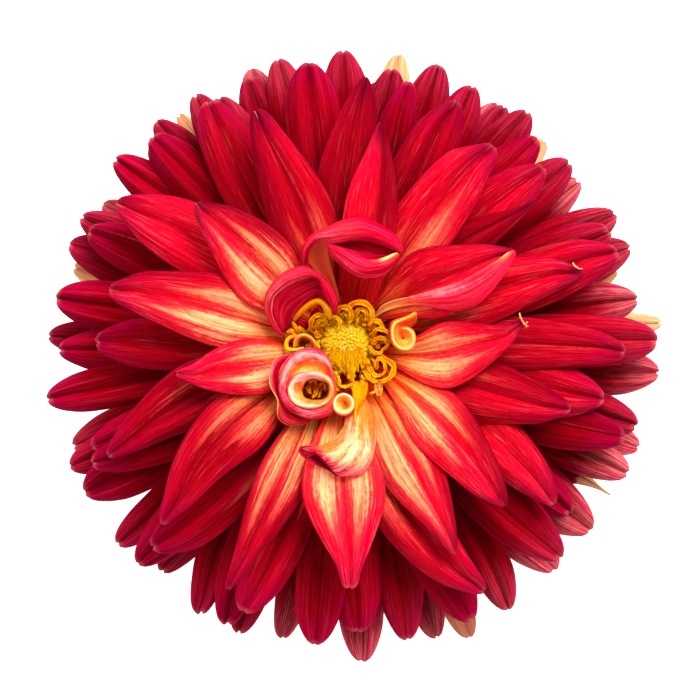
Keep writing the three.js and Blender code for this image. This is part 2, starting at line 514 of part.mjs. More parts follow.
// Curled petals
const curled = [
  ['hooked_petal_top', ['hooked_petal_top'], 18, 'bright'],
  ['hooded_petal_left', ['hooded_petal_left'], 12, 'crimson'],
  ['scrolled_petal', ['scrolled_petal', 'scrolled_tube', 'scrolled_claw', 'outer_flap'], 12, 'bright'],
  ['folded_petal_bottom', ['folded_petal_bottom'], 9, 'bright'],
  ['rolled_petal_right', ['rolled_petal_right', 'rolled_claw_right'], 12, 'amber'],
  ['rolled_petal_left', ['rolled_petal_left', 'rolled_claw_left'], 10, 'amber'],
];
for (const [name, keys, steps, look] of curled) {
  const n = k => /claw/.test(k) ? 3 : steps;
  place(name, keys.map(k => ribbon(CURLS[k], n(k))), keys.map(k => ribbon(CURLS[k], n(k), GAP)), look);
}
function tube(grow) {
  const inner = TUBE.outer - TUBE.wall - grow, outer = TUBE.outer + grow;
  const g = new THREE.LatheGeometry([
    [inner * 0.8, TUBE.low - grow], [outer * 0.8, TUBE.low - grow], [outer, TUBE.high + grow], [inner, TUBE.high + grow], [inner * 0.8, TUBE.low - grow],
  ].map(p => new THREE.Vector2(p[0], p[1])), 14);
  g.rotateX(Math.PI / 2);
  g.translate(TUBE.x, TUBE.y, 0);
  return solid(g);
}
place('small_tube_petal', [tube(0), ribbon(CURLS.tube_claw, 3)], [tube(GAP), ribbon(CURLS.tube_claw, 3, GAP)], 'amber');

// Disc and receptacle
const discProfile = e => [[0, DISC_BASE - e], [DISC_RADIUS - 0.4 + e, DISC_BASE - e], [DISC_RADIUS + e, DISC_BASE + 1.4], [DISC_RADIUS - 0.4 + e, DISC_BASE + 3], [4.2 + e, DISC_TOP - 1], [2.2, DISC_TOP - 0.2 + e], [0, DISC_TOP + e]];
place('disc_buds', [solid(lathe(discProfile(0), 16))], [solid(lathe(discProfile(GAP), 16))], 'olive');
const ringProfile = e => [
  [FLORET_RING_INNER - e, 28.2 - e], [FLORET_RING_OUTER - 0.2 + e, 31.2 - e], [FLORET_RING_OUTER + e, 33],
  [8.6, FLORET_RING_TOP + e], [FLORET_RING_INNER + 0.2 - e, 32.6 + e], [FLORET_RING_INNER - e, 28.2 - e]];
place('open_disc_florets', [solid(lathe(ringProfile(0), 18))], [solid(lathe(ringProfile(GAP), 18))], 'amber');
const cupProfile = e => [
  [0, STEM_END_Z - e], [STEM_RADIUS - 0.2 + e, STEM_END_Z - e], [STEM_RADIUS + e, 4.6 - e], [6 + e, 6.2 - e], [CUP_RADIUS - 0.4 + e, CUP_Z - e],
  ...[8.8, 13.8, 18.6, 22.6, 25.6].map(z => [receptacleRadius(z) + e, z]), [0, 26.2 + e]];
place('receptacle_with_stem', [solid(lathe(cupProfile(0), 18))], [solid(lathe(cupProfile(GAP * 0.8), 18))], 'green');

// Ray petals, from the top layer down, each pressed clear under those above
for (const other of placed) {
  if (!/petal/.test(other.name)) continue;
  const mesh = other.solid.getMesh(), v = mesh.vertProperties, t = mesh.triVerts, n = mesh.numProp;
  for (let i = 0; i < t.length; i += 3) {
    for (let a = 0; a <= SUB; a++) for (let b = 0; a + b <= SUB; b++) {
      const u = a / SUB, w = b / SUB, q = 1 - u - w;
      const at = k => q * v[t[i] * n + k] + u * v[t[i + 1] * n + k] + w * v[t[i + 2] * n + k];
      lowerCeiling(at(0), at(1), at(2));
    }
  }
}
const grids = PETALS.map(p => ({ name: p[0], layer: p[1], grid: pressUnder(petalGrid(p), p[1]) }));

function claspBand(members) {
  // the thin band round the receptacle that the claws of a group stand on
  const angles = members.map(m => Math.atan2(m.grid[0][1].y - AXIS_Y, m.grid[0][1].x - AXIS_X));
  const first = angles[0], turn = a => { let d = a - first; while (d > Math.PI) d -= 2 * Math.PI; while (d < -Math.PI) d += 2 * Math.PI; return d; };
  const rel = angles.map(turn), lo = first + Math.min(...rel), hi = first + Math.max(...rel);
  const heights = members.map(m => m.grid[0][1].z), zl = Math.min(...heights) - 0.7, zh = Math.max(...heights) + 0.7;
  const build = e => {
    const outer = [], inner = [], steps = Math.max(2, Math.ceil((hi - lo) / 0.22));
    for (let i = 0; i <= steps; i++) {
      const a = lerp(lo - 0.1 - e / 12, hi + 0.1 + e / 12, i / steps), o = [], n = [];
      for (let k = 0; k <= 2; k++) {
        const z = lerp(zl - e, zh + e, k / 2), r = receptacleRadius(z) + GAP;
        o.push(new THREE.Vector3(AXIS_X + Math.cos(a) * (r + 1.8 + e), AXIS_Y + Math.sin(a) * (r + 1.8 + e), z));
        n.push(new THREE.Vector3(AXIS_X + Math.cos(a) * (r - e), AXIS_Y + Math.sin(a) * (r - e), z));
      }
      outer.push(o); inner.push(n);
    }
    return solid(closedSlab(outer, inner));
  };
  return [build(0), build(GAP)];
}

const order = [];
for (const g of grids) if (!order.includes(g.name)) order.push(g.name);
for (const name of order) {
  const members = grids.filter(g => g.name === name);
  const parts = members.map(m => petalSolid(m.grid, 0)), grown = members.map(m => petalSolid(m.grid, GAP));
  if (members.length > 1) {
    const [band, wide] = claspBand(members);
    parts.push(band); grown.push(wide);
  }
  place(name, parts, grown, /^inner/.test(name) ? 'bright' : 'crimson');
}

// Bracts on the back
function bractRing(count, reach, rootR, rootZ, tipZ, width, turn, rise) {
  // a thin collar joins the roots of the bracts
  const hub = grow => solid(lathe([[rootR - 0.2 - grow, rootZ - 1.0 - grow], [rootR + 2.4 + grow, rootZ - 1.0 - grow], [rootR + 2.4 + grow, rootZ + 0.5 + grow], [rootR - 0.2 - grow, rootZ + 0.5 + grow], [rootR - 0.2 - grow, rootZ - 1.0 - grow]], 16));
  const make = () => {
    const list = [];
    for (let k = 0; k < count; k++) {
      const a = turn + k * 2 * Math.PI / count, ca = Math.cos(a), sa = Math.sin(a), grid = [];
      for (const s of [0, 0.3, 0.65, 0.9, 1]) {
        const r = lerp(rootR, reach, s), w = Math.max(width / 2 * [0.75, 0.95, 1, 0.55, 0.12][[0, 0.3, 0.65, 0.9, 1].indexOf(s)], 0.5), row = [];
        const z = lerp(rootZ, tipZ, s * s) + rise * Math.sin(Math.PI * s);
        for (const j of [-1, 0, 1]) row.push(new THREE.Vector3(AXIS_X + ca * r - sa * w * j, AXIS_Y + sa * r + ca * w * j, z));
        grid.push(row);
      }
      list.push(grid);
    }
    return list;
  };
  const grids = make().map(g => pressUnder(g));
  return grow => grids.map(g => petalSolid(g, grow)).concat([hub(grow)]);
}
const innerBracts = bractRing(INNER_BRACTS, INNER_BRACT_REACH, 7.0, 5.3, 3.6, 9.5, 0.2, 0.2);
place('inner_bracts', innerBracts(0), innerBracts(GAP), 'cream');
const greenBracts = bractRing(GREEN_BRACTS, GREEN_BRACT_REACH, 4.4, 3.0, 0.8, 6.2, 0.5, 0.1);
place('green_bracts', greenBracts(0), greenBracts(GAP), 'green');

for (const { name, solid: m, look } of placed) {
  const mesh = m.getMesh(), n = mesh.numProp, count = mesh.vertProperties.length / n;
  const pos = new Float32Array(count * 3);
  for (let i = 0; i < count; i++) for (let k = 0; k < 3; k++) pos[3 * i + k] = mesh.vertProperties[i * n + k];
  const geometry = new THREE.BufferGeometry();
  geometry.setAttribute('position', new THREE.BufferAttribute(pos, 3));
  geometry.setIndex(Array.from(mesh.triVerts));
  geometry.computeVertexNormals();
  const piece = new THREE.Mesh(geometry, new THREE.MeshStandardMaterial({ ...finish[look], side: THREE.DoubleSide }));
  piece.name = name;
  bloom.add(piece);
}

export default bloom;
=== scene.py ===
"""Looks of a cut dahlia bloom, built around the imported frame. Lengths in the tables are millimetres."""
import math
import random

import bpy
import numpy as np
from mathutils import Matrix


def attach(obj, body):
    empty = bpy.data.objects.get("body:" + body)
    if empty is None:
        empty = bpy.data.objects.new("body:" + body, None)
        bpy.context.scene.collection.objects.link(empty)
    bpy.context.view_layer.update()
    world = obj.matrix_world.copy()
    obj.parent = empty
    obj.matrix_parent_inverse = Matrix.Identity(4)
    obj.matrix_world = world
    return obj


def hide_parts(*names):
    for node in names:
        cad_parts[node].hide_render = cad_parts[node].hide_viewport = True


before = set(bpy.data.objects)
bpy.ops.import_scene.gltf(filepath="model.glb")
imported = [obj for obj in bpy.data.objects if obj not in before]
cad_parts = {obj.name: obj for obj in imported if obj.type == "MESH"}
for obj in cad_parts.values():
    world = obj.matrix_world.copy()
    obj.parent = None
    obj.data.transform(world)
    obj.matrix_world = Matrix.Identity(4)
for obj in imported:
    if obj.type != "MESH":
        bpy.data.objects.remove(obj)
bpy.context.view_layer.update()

MM = 0.001
AXIS = (-2.41, 3.1)          # the disc's centre line
CAMERA_XY = (-1.425, 1.625)  # where the camera's axis meets the floor
CAMERA_Z = 1250.0
SCALE_Z = 10.0               # height at which one picture step of 1/700 is PX_MM wide
PX_MM = 0.25
PETAL_T = 0.42               # petal thickness
GAP = 0.16                   # air kept between stacked petals

# Bowls: one height profile for each petal layer, 1 innermost to 9 backmost
LAYERS = [1, 2, 3, 4, 5, 6, 7, 8, 9]
FOOT_R = [6.9, 7.4, 8.1, 8.9, 9.9, 11.0, 12.1, 13.3, 14.5]
FOOT_Z = [25.6, 24.2, 22.6, 20.7, 18.6, 16.3, 13.8, 11.2, 8.8]
FOOT_SLOPE = [1.10, 0.98, 0.84, 0.66, 0.48, 0.32, 0.16, 0.04, -0.06]
TIP_R = [42, 50, 56, 60, 65, 70, 74, 77, 79]
TIP_Z = [47.5, 44, 39.5, 34.5, 29, 22.5, 15.0, 7.6, 0.4]
TIP_SLOPE = [0.12, 0.08, 0.04, 0.0, -0.05, -0.09, -0.12, -0.14, -0.12]

# Ray petals: node, layer, foot x y, bend x y, tip x y, width, kind (r red, d dark, p faded pink, t straw, b brown), key
PETALS = [
    ('inner_petal_08', 2, -1.31, 9.94, 4.75, 33.16, 6.35, 56.8, 12.5, 'r', 'N'),
    ('inner_petal_11', 2, -7.63, 7.65, -23.6, 22.32, -38.63, 37.61, 19.0, 'r', 'AM'),
    ('inner_petal_14', 2, -9.12, 1.41, -26.36, -3.14, -43.77, -5.19, 15.5, 'r', 'AO'),
    ('inner_petal_03', 2, 1.43, 8.87, 19.59, 18.91, 38.7, 26.19, 16.0, 'r', 'AP'),
    ('inner_petal_18', 2.2, -2.88, -3.96, -4.12, -30.48, -0.45, -56.5, 19.25, 'r', 'b20'),
    ('inner_petal_24', 2.4, 4.5, 0.97, 24.56, -2.21, 41.95, 7.72, 15.75, 'r', 'AR'),
    ('inner_petal_13', 2.6, -9.72, 4.29, -34.63, 11.86, -59.9, 17.46, 18.0, 'r', 'AL'),
    ('inner_petal_21', 2.6, 3.38, -1.5, 23.69, -15.72, 35.86, -36.87, 14.5, 'r', 'b30'),
    ('inner_petal_10', 3, -5.0, 10.39, -11.73, 36.72, -25.34, 59.94, 16.0, 'r', 'L'),
    ('inner_petal_06', 3, 1.85, 9.55, 15.07, 32.72, 32.49, 52.62, 18.0, 'r', 'W'),
    ('inner_petal_16', 3, -8.05, -2.17, -36.63, -14.08, -45.83, -41.56, 16.0, 'r', 'b08'),
    ('inner_petal_20', 3, 1.04, -3.8, 13.55, -25.54, 24.93, -47.67, 16.5, 'r', 'b29'),
    ('inner_petal_17', 3.2, -6.31, -3.74, -18.69, -30.46, -31.22, -56.98, 14.5, 'r', 'b13'),
    ('inner_petal_04', 3.3, 3.68, 8.24, 20.6, 28.25, 44.51, 37.06, 11.5, 'd', 'AS'),
    ('inner_petal_09', 3.5, -2.12, 11.23, -3.92, 40.3, 2.73, 68.38, 14.5, 'r', 'M'),
    ('inner_petal_23', 3.6, 5.38, 0.55, 28.37, -8.64, 52.4, -13.54, 15.5, 'r', 'b42'),
    ('inner_petal_02', 3.8, 5.48, 5.88, 30.01, 15.77, 55.63, 21.7, 14.5, 'r', 'AY'),
    ('inner_petal_07', 4, 0.99, 10.93, 12.34, 37.08, 23.82, 63.14, 14.5, 'r', 'S'),
    ('inner_petal_12', 4, -9.52, 7.82, -31.67, 27.52, -59.01, 37.4, 16.5, 'r', 'AC'),
    ('inner_petal_15', 4, -10.53, 0.49, -40.09, -4.58, -60.48, -24.84, 14.5, 'r', 'b07'),
    ('inner_petal_22', 4, 4.71, -1.58, 31.34, -13.54, 49.06, -35.87, 15.5, 'r', 'b33'),
    ('inner_petal_05', 4.3, 4.03, 9.14, 23.47, 29.83, 46.43, 46.29, 14.0, 'r', 'AA'),
    ('inner_petal_19', 4.3, 0.85, -5.09, 6.32, -37.94, 31.22, -58.5, 16.0, 'r', 'b27'),
    ('inner_petal_01', 4.4, 6.51, 3.07, 36.52, 4.46, 66.34, 1.62, 13.5, 'd', 'BC'),
    ('middle_petals_6', 4.8, 6.66, 0.95, 33.63, -5.49, 60.56, -11.9, 12.0, 'r', 'b41'),
    ('middle_petals_9', 5, -0.27, 12.4, 6.17, 40.24, 12.61, 68.1, 10.0, 'd', 'Q'),
    ('middle_petals_7', 5, 6.59, 6.24, 35.7, 15.75, 64.32, 26.74, 14.0, 'r', 'AV'),
    ('middle_petals_3', 5, -8.5, -4.23, -24.3, -31.18, -50.05, -47.74, 13.5, 'r', 'b09'),
    ('middle_petals_2', 5.3, -12.32, 3.06, -38.42, 1.32, -64.29, 4.34, 12.5, 'r', 'AJ'),
    ('middle_petals_6', 5.3, 6.84, -0.39, 35.09, -15.96, 66.65, -19.59, 12.5, 'r', 'b40'),
    ('middle_petals_1', 5.5, -7.74, 11.75, -25.6, 35.66, -36.48, 63.34, 13.5, 'r', 'F'),
    ('middle_petals_8', 5.5, 4.36, 10.66, 23.33, 33.54, 44.98, 53.96, 11.5, 'r', 'X'),
    ('middle_petals_6', 5.5, 7.72, 3.25, 41.09, 3.66, 74.64, 4.09, 14.5, 'r', 'BB'),
    ('middle_petals_4', 5.5, -5.57, -6.52, -12.77, -36.41, -28.09, -63.06, 13.0, 'r', 'b17'),
    ('middle_petals_5', 5.5, 4.59, -4.21, 25.47, -29.3, 50.92, -49.74, 13.5, 'r', 'b31'),
    ('middle_petals_2', 5.6, -11.5, -1.66, -35.91, -20.35, -65.39, -26.04, 10.0, 'd', 'b06'),
    ('middle_petals_9', 6, -3.98, 13.75, -8.94, 43.14, -12.07, 72.9, 14.5, 'r', 'C'),
    ('middle_petals_9', 6, -0.69, 13.72, 4.01, 42.52, 8.72, 71.41, 11.0, 'r', 'O'),
    ('middle_petals_8', 6, 2.39, 12.73, 15.93, 39.79, 29.51, 66.97, 12.0, 'r', 'T'),
    ('middle_petals_8', 6, 4.22, 11.56, 23.67, 35.89, 42.64, 60.79, 12.5, 'r', 'V'),
    ('middle_petals_2', 6, -12.25, 7.46, -39.21, 19.36, -66.26, 31.32, 12.5, 'r', 'AF2'),
    ('middle_petals_7', 6, 7.48, 7.3, 35.28, 19.03, 63.17, 30.83, 13.0, 'r', 'AU'),
    ('middle_petals_2', 6, -12.38, -0.91, -38.91, -11.64, -65.51, -22.38, 10.0, 'r', 'b05'),
    ('middle_petals_4', 6, -3.61, -7.56, -7.49, -39.35, -10.34, -71.41, 13.0, 'r', 'b19'),
    ('middle_petals_4', 6, 1.72, -6.8, 11.28, -38.05, 29.27, -65.22, 12.5, 'r', 'b26'),
    ('middle_petals_8', 6.3, 6.22, 10.11, 29.74, 29.12, 53.37, 48.24, 13.0, 'r', 'Z'),
    ('middle_petals_4', 6.3, -2.11, -7.99, -2.99, -38.37, 1.05, -68.54, 14.5, 'r', 'b21'),
    ('middle_petals_5', 6.3, 6.51, -3.49, 30.14, -20.98, 53.86, -38.54, 11.5, 'd', 'b34'),
    ('middle_petals_6', 6.3, 8.29, 0.15, 39.05, -8.39, 70.0, -16.98, 12.5, 'r', 'b39'),
    ('middle_petals_1', 6.5, -10.15, 11.44, -30.3, 33.15, -50.57, 54.99, 12.5, 'd', 'J'),
    ('middle_petals_2', 6.6, -13.76, 4.87, -44.13, 9.56, -74.7, 14.29, 14.0, 'd', 'AH'),
    ('outer_petals_03', 7, -2.46, 15.08, -2.56, 45.7, -2.67, 76.57, 13.0, 'r', 'A'),
    ('outer_petals_05', 7, -8.69, 13.31, -24.54, 39.11, -40.51, 65.11, 10.5, 'r', 'G'),
    ('outer_petals_06', 7, -11.59, 10.8, -33.95, 32.4, -60.44, 48.93, 11.5, 'r', 'K'),
    ('outer_petals_03', 7, -1.03, 15.0, 2.13, 41.84, 5.29, 68.81, 11.0, 'r', 'O2'),
    ('outer_petals_03', 7, 1.32, 14.48, 10.87, 43.42, 20.48, 72.58, 11.0, 'r', 'R'),
    ('outer_petals_06', 7, -13.19, 8.32, -40.69, 21.6, -68.4, 34.99, 11.5, 'r', 'AD'),
    ('outer_petals_02', 7, 8.36, 8.31, 36.47, 21.84, 64.81, 35.49, 12.0, 'r', 'AT'),
    ('outer_petals_01', 7, 9.4, 4.98, 39.73, 9.75, 70.28, 14.57, 12.0, 'r', 'AZ'),
    ('outer_petals_07', 7, -14.19, 0.96, -45.52, -4.79, -77.13, -10.58, 11.5, 'r', 'b01'),
    ('outer_petals_08', 7, -12.93, -2.59, -40.31, -17.49, -67.91, -32.49, 11.0, 'r', 'b04'),
    ('outer_petals_09', 7, -10.62, -5.59, -32.32, -28.66, -54.22, -51.92, 12.0, 'r', 'b11'),
    ('outer_petals_09', 7, -7.58, -7.67, -24.05, -35.58, -32.8, -66.86, 11.5, 'r', 'b15'),
    ('outer_petals_11', 7, 0.32, -8.53, 10.63, -38.85, 12.27, -70.84, 12.0, 'r', 'b23'),
    ('outer_petals_11', 7, 4.26, -6.8, 25.98, -32.2, 38.43, -63.14, 11.5, 'r', 'b28'),
    ('outer_petals_12', 7, 8.5, -1.76, 38.03, -14.96, 67.81, -28.26, 11.0, 'p', 'b37'),
    ('outer_petals_01', 7, 9.5, 2.17, 42.37, -0.46, 75.54, -3.11, 12.0, 'r', 'b43'),
    ('outer_petals_03', 7.3, 4.51, 13.32, 21.05, 37.67, 37.72, 62.22, 11.0, 'r', 'U2'),
    ('outer_petals_06', 7.3, -14.01, 7.35, -42.63, 17.78, -71.51, 28.31, 13.5, 'r', 'AF'),
    ('outer_petals_07', 7.3, -14.75, 2.82, -44.37, 2.1, -74.24, 1.38, 11.5, 'r', 'AI2'),
    ('outer_petals_01', 7.5, 9.48, 7.17, 38.97, 17.21, 68.75, 27.35, 12.5, 'r', 'AW'),
    ('outer_petals_08', 7.6, -14.01, -2.08, -42.55, -14.91, -71.39, -27.86, 11.5, 'r', 'b03'),
    ('outer_petals_12', 7.6, 7.73, -4.5, 33.13, -23.58, 58.8, -42.86, 12.0, 'p', 'b35'),
    ('outer_petals_04', 8, -5.43, 15.96, -12.28, 45.18, -19.2, 74.74, 11.0, 'r', 'B'),
    ('outer_petals_05', 8, -8.49, 14.83, -21.41, 39.77, -34.46, 64.95, 11.5, 'r', 'F2'),
    ('outer_petals_05', 8, -10.93, 13.2, -30.23, 36.08, -49.75, 59.21, 11.0, 'r', 'I'),
    ('outer_petals_03', 8, 4.61, 14.28, 20.04, 38.74, 35.62, 63.46, 10.5, 'p', 'U'),
    ('outer_petals_02', 8, 8.43, 10.61, 32.3, 27.06, 56.4, 43.68, 11.5, 'p', 'AB'),
    ('outer_petals_07', 8, -15.61, 3.39, -46.15, 4.0, -77.05, 4.63, 11.0, 'r', 'AI'),
    ('outer_petals_09', 8, -12.34, -5.58, -35.91, -26.27, -59.78, -47.22, 10.5, 'r', 'b10'),
    ('outer_petals_09', 8, -9.62, -7.93, -32.88, -32.18, -38.75, -64.75, 10.0, 'r', 'b14'),
    ('outer_petals_09', 8, -7.2, -9.17, -20.0, -38.54, -29.48, -69.52, 10.5, 'r', 'b16'),
    ('outer_petals_10', 8, -1.8, -10.05, -0.24, -43.08, 1.33, -76.55, 11.0, 'r', 'b22'),
    ('outer_petals_11', 8, 1.51, -9.46, 11.01, -39.8, 20.62, -70.52, 10.5, 'r', 'b24'),
    ('outer_petals_11', 8, 6.49, -6.6, 28.07, -30.15, 49.93, -53.99, 11.0, 'p', 'b32'),
    ('outer_petals_12', 8, 10.02, -1.24, 40.43, -11.89, 71.22, -22.67, 11.0, 'p', 'b38'),
    ('outer_petals_04', 8.3, -7.18, 15.82, -17.28, 42.79, -27.5, 70.08, 11.5, 'r', 'E'),
    ('outer_petals_06', 8.3, -11.98, 12.73, -31.79, 32.64, -51.82, 52.77, 10.5, 'p', 'J2'),
    ('outer_petals_12', 8.4, 9.4, -3.75, 32.7, -17.29, 56.26, -30.98, 10.5, 'r', 'b44'),
    ('outer_petals_08', 8.8, -15.72, -1.77, -43.33, -11.95, -71.35, -22.27, 10.5, 'p', 'b02'),
    ('outer_petals_04', 9, -6.92, 16.82, -16.07, 44.64, -25.35, 72.88, 9.5, 'p', 'D'),
    ('outer_petals_05', 9, -10.84, 14.83, -27.41, 37.89, -44.22, 61.29, 9.5, 't', 'H'),
    ('outer_petals_03', 9, 0.21, 17.3, 5.65, 46.51, 11.17, 76.16, 9.0, 't', 'Pt'),
    ('outer_petals_03', 9, 7.64, 13.44, 27.51, 33.82, 47.67, 54.49, 9.5, 't', 'Y'),
    ('outer_petals_06', 9, -14.95, 10.26, -39.22, 24.09, -63.85, 38.12, 10.5, 'p', 'AE'),
    ('outer_petals_06', 9, -16.31, 6.99, -43.53, 14.57, -71.16, 22.27, 10.5, 't', 'AG'),
    ('outer_petals_01', 9, 11.48, 6.91, 38.56, 14.28, 66.04, 21.76, 10.5, 't', 'AX'),
    ('outer_petals_01', 9, 11.95, 4.13, 44.31, 6.38, 77.18, 8.68, 9.0, 't', 'BA'),
    ('outer_petals_09', 9, -11.51, -8.07, -30.12, -31.0, -49.02, -54.28, 9.5, 'p', 'b12'),
    ('outer_petals_10', 9, -5.41, -10.97, -11.74, -40.84, -18.17, -71.16, 8.5, 'p', 'b18'),
    ('outer_petals_11', 9, 3.27, -10.11, 16.19, -40.16, 29.32, -70.69, 9.5, 'b', 'b25'),
    ('outer_petals_12', 9, 10.04, -4.12, 36.97, -19.76, 64.32, -35.65, 10.0, 't', 'b36'),
]


# ------------------------------------------------------------- small helpers

def clamp(x, lo=0.0, hi=1.0):
    return np.minimum(np.maximum(x, lo), hi)


def smooth(a, b, x):
    t = clamp((np.asarray(x, float) - a) / (b - a))
    return t * t * (3 - 2 * t)


def lerp(a, b, t):
    return a + (b - a) * t


def bowl(layer, r):
    """Height of a layer's surface at distance r from the flower's axis."""
    g = lambda table: float(np.interp(layer, LAYERS, table))
    rb, zb, s0, rt, zt, s1 = g(FOOT_R), g(FOOT_Z), g(FOOT_SLOPE), g(TIP_R), g(TIP_Z), g(TIP_SLOPE)
    h = rt - rb
    u = (r - rb) / h
    cubic = (2 * u**3 - 3 * u**2 + 1) * zb + (u**3 - 2 * u**2 + u) * h * s0 + (-2 * u**3 + 3 * u**2) * zt + (u**3 - u**2) * h * s1
    return np.where(u < 0, zb + (r - rb) * s0, np.where(u > 1, zt + (r - rt) * s1, cubic))


def seen(px, py, z):
    """Millimetres in the frame of a point that the camera sees at picture place (px, py) and height z."""
    f = (CAMERA_Z - z) / (CAMERA_Z - SCALE_Z)
    return (CAMERA_XY[0] + (px - 350.0) * PX_MM * f, CAMERA_XY[1] + (350.0 - py) * PX_MM * f, z)


def make_object(name, verts, faces, uv=None, attrs=None, material=None, smooth_shade=True):
    """A mesh object from arrays in millimetres. uv is per vertex; attrs maps a name to an (n, 4) array."""
    me = bpy.data.meshes.new(name)
    v = np.asarray(verts, np.float32) * MM
    nf = len(faces)
    sizes = np.array([len(f) for f in faces], np.int32) if not isinstance(faces, np.ndarray) else np.full(nf, faces.shape[1], np.int32)
    flat = np.concatenate([np.asarray(f, np.int32) for f in faces]) if not isinstance(faces, np.ndarray) else faces.astype(np.int32).ravel()
    me.vertices.add(len(v))
    me.vertices.foreach_set("co", v.ravel())
    me.loops.add(len(flat))
    me.loops.foreach_set("vertex_index", flat)
    me.polygons.add(nf)
    starts = np.zeros(nf, np.int32)
    starts[1:] = np.cumsum(sizes)[:-1]
    me.polygons.foreach_set("loop_start", starts)
    me.polygons.foreach_set("loop_total", sizes)
    if smooth_shade:
        me.polygons.foreach_set("use_smooth", np.ones(nf, bool))
    me.update(calc_edges=True)
    me.validate()
    if uv is not None:
        layer = me.uv_layers.new(name="grain")
        idx = np.zeros(len(me.loops), np.int32)
        me.loops.foreach_get("vertex_index", idx)
        layer.data.foreach_set("uv", np.asarray(uv, np.float32)[idx].ravel())
    for key, val in (attrs or {}).items():
        a = me.attributes.new(key, "FLOAT_COLOR", "POINT")
        a.data.foreach_set("color", np.asarray(val, np.float32).ravel())
    ob = bpy.data.objects.new(name, me)
    bpy.context.scene.collection.objects.link(ob)
    if material:
        me.materials.append(material)
    return ob


def shell(grid, thickness, rim_power=6.0, close=(True, True)):
    """A closed thin shell round a grid of points (nu, nv, 3): top and bottom sheets that meet along the edge.
    Returns verts, quads, and for each vertex its grid index and whether it is on the under side."""
    nu, nv, _ = grid.shape
    du = np.gradient(grid, axis=0)
    dv = np.gradient(grid, axis=1)
    n = np.cross(du, dv)
    n /= np.maximum(np.linalg.norm(n, axis=2, keepdims=True), 1e-9)
    a = np.linspace(-1, 1, nv)[None, :]
    b = np.linspace(-1, 1, nu)[:, None]
    t = np.asarray(thickness) * np.sqrt(clamp(1 - np.abs(a)**rim_power)) * np.sqrt(clamp(1 - np.abs(b)**(rim_power * 3)))
    top = grid + n * (t / 2)[..., None]
    bot = grid - n * (t / 2)[..., None]
    idx_top = np.arange(nu * nv).reshape(nu, nv)
    inner = np.zeros((nu, nv), bool)
    inner[1:-1, 1:-1] = True
    idx_bot = idx_top.copy()
    idx_bot[inner] = nu * nv + np.arange(inner.sum())
    verts = np.vstack([top.reshape(-1, 3), bot[inner]])
    src = np.concatenate([np.arange(nu * nv), idx_top[inner]])
    under = np.concatenate([np.zeros(nu * nv), np.ones(inner.sum())])
    q = lambda I: np.stack([I[:-1, :-1], I[1:, :-1], I[1:, 1:], I[:-1, 1:]], -1).reshape(-1, 4)
    return verts, np.vstack([q(idx_top), q(idx_bot)[:, ::-1]]), src, under


# -------------------------------------------------------------- node helpers

class Val:
    """A value socket in a material that can be added, multiplied and so on."""

    def __init__(self, mat, sock):
        self.m, self.s = mat, sock

    def _op(self, op, *others, clampit=False):
        n = self.m.node_tree.nodes.new("ShaderNodeMath")
        n.operation = op
        n.use_clamp = clampit
        for i, o in enumerate((self,) + others):
            if isinstance(o, Val):
                self.m.node_tree.links.new(o.s, n.inputs[i])
            else:
                n.inputs[i].default_value = float(o)
        return Val(self.m, n.outputs[0])

    def __add__(self, o): return self._op("ADD", o)
    __radd__ = __add__
    def __sub__(self, o): return self._op("SUBTRACT", o)
    def __rsub__(self, o): return (self * -1.0) + o
    def __mul__(self, o): return self._op("MULTIPLY", o)
    __rmul__ = __mul__
    def __truediv__(self, o): return self._op("DIVIDE", o)
    def abs(self): return self._op("ABSOLUTE")
    def pow(self, o): return self._op("POWER", o)
    def sin(self): return self._op("SINE")
    def max(self, o): return self._op("MAXIMUM", o)
    def min(self, o): return self._op("MINIMUM", o)
    def clip(self): return self._op("ADD", 0.0, clampit=True)

    def bell(self, width):
        """1 where this is 0, falling off over width."""
        x = self / width
        return ((x * x) * -1.0)._op("EXPONENT")

    def step(self, a, b):
        """Smooth 0 to 1 from a to b."""
        n = self.m.node_tree.nodes.new("ShaderNodeMapRange")
        n.interpolation_type = "SMOOTHSTEP"
        links = self.m.node_tree.links
        links.new(self.s, n.inputs["Value"])
        for key, o in (("From Min", a), ("From Max", b)):
            if isinstance(o, Val):
                links.new(o.s, n.inputs[key])
            else:
                n.inputs[key].default_value = float(o)
        return Val(self.m, n.outputs["Result"])


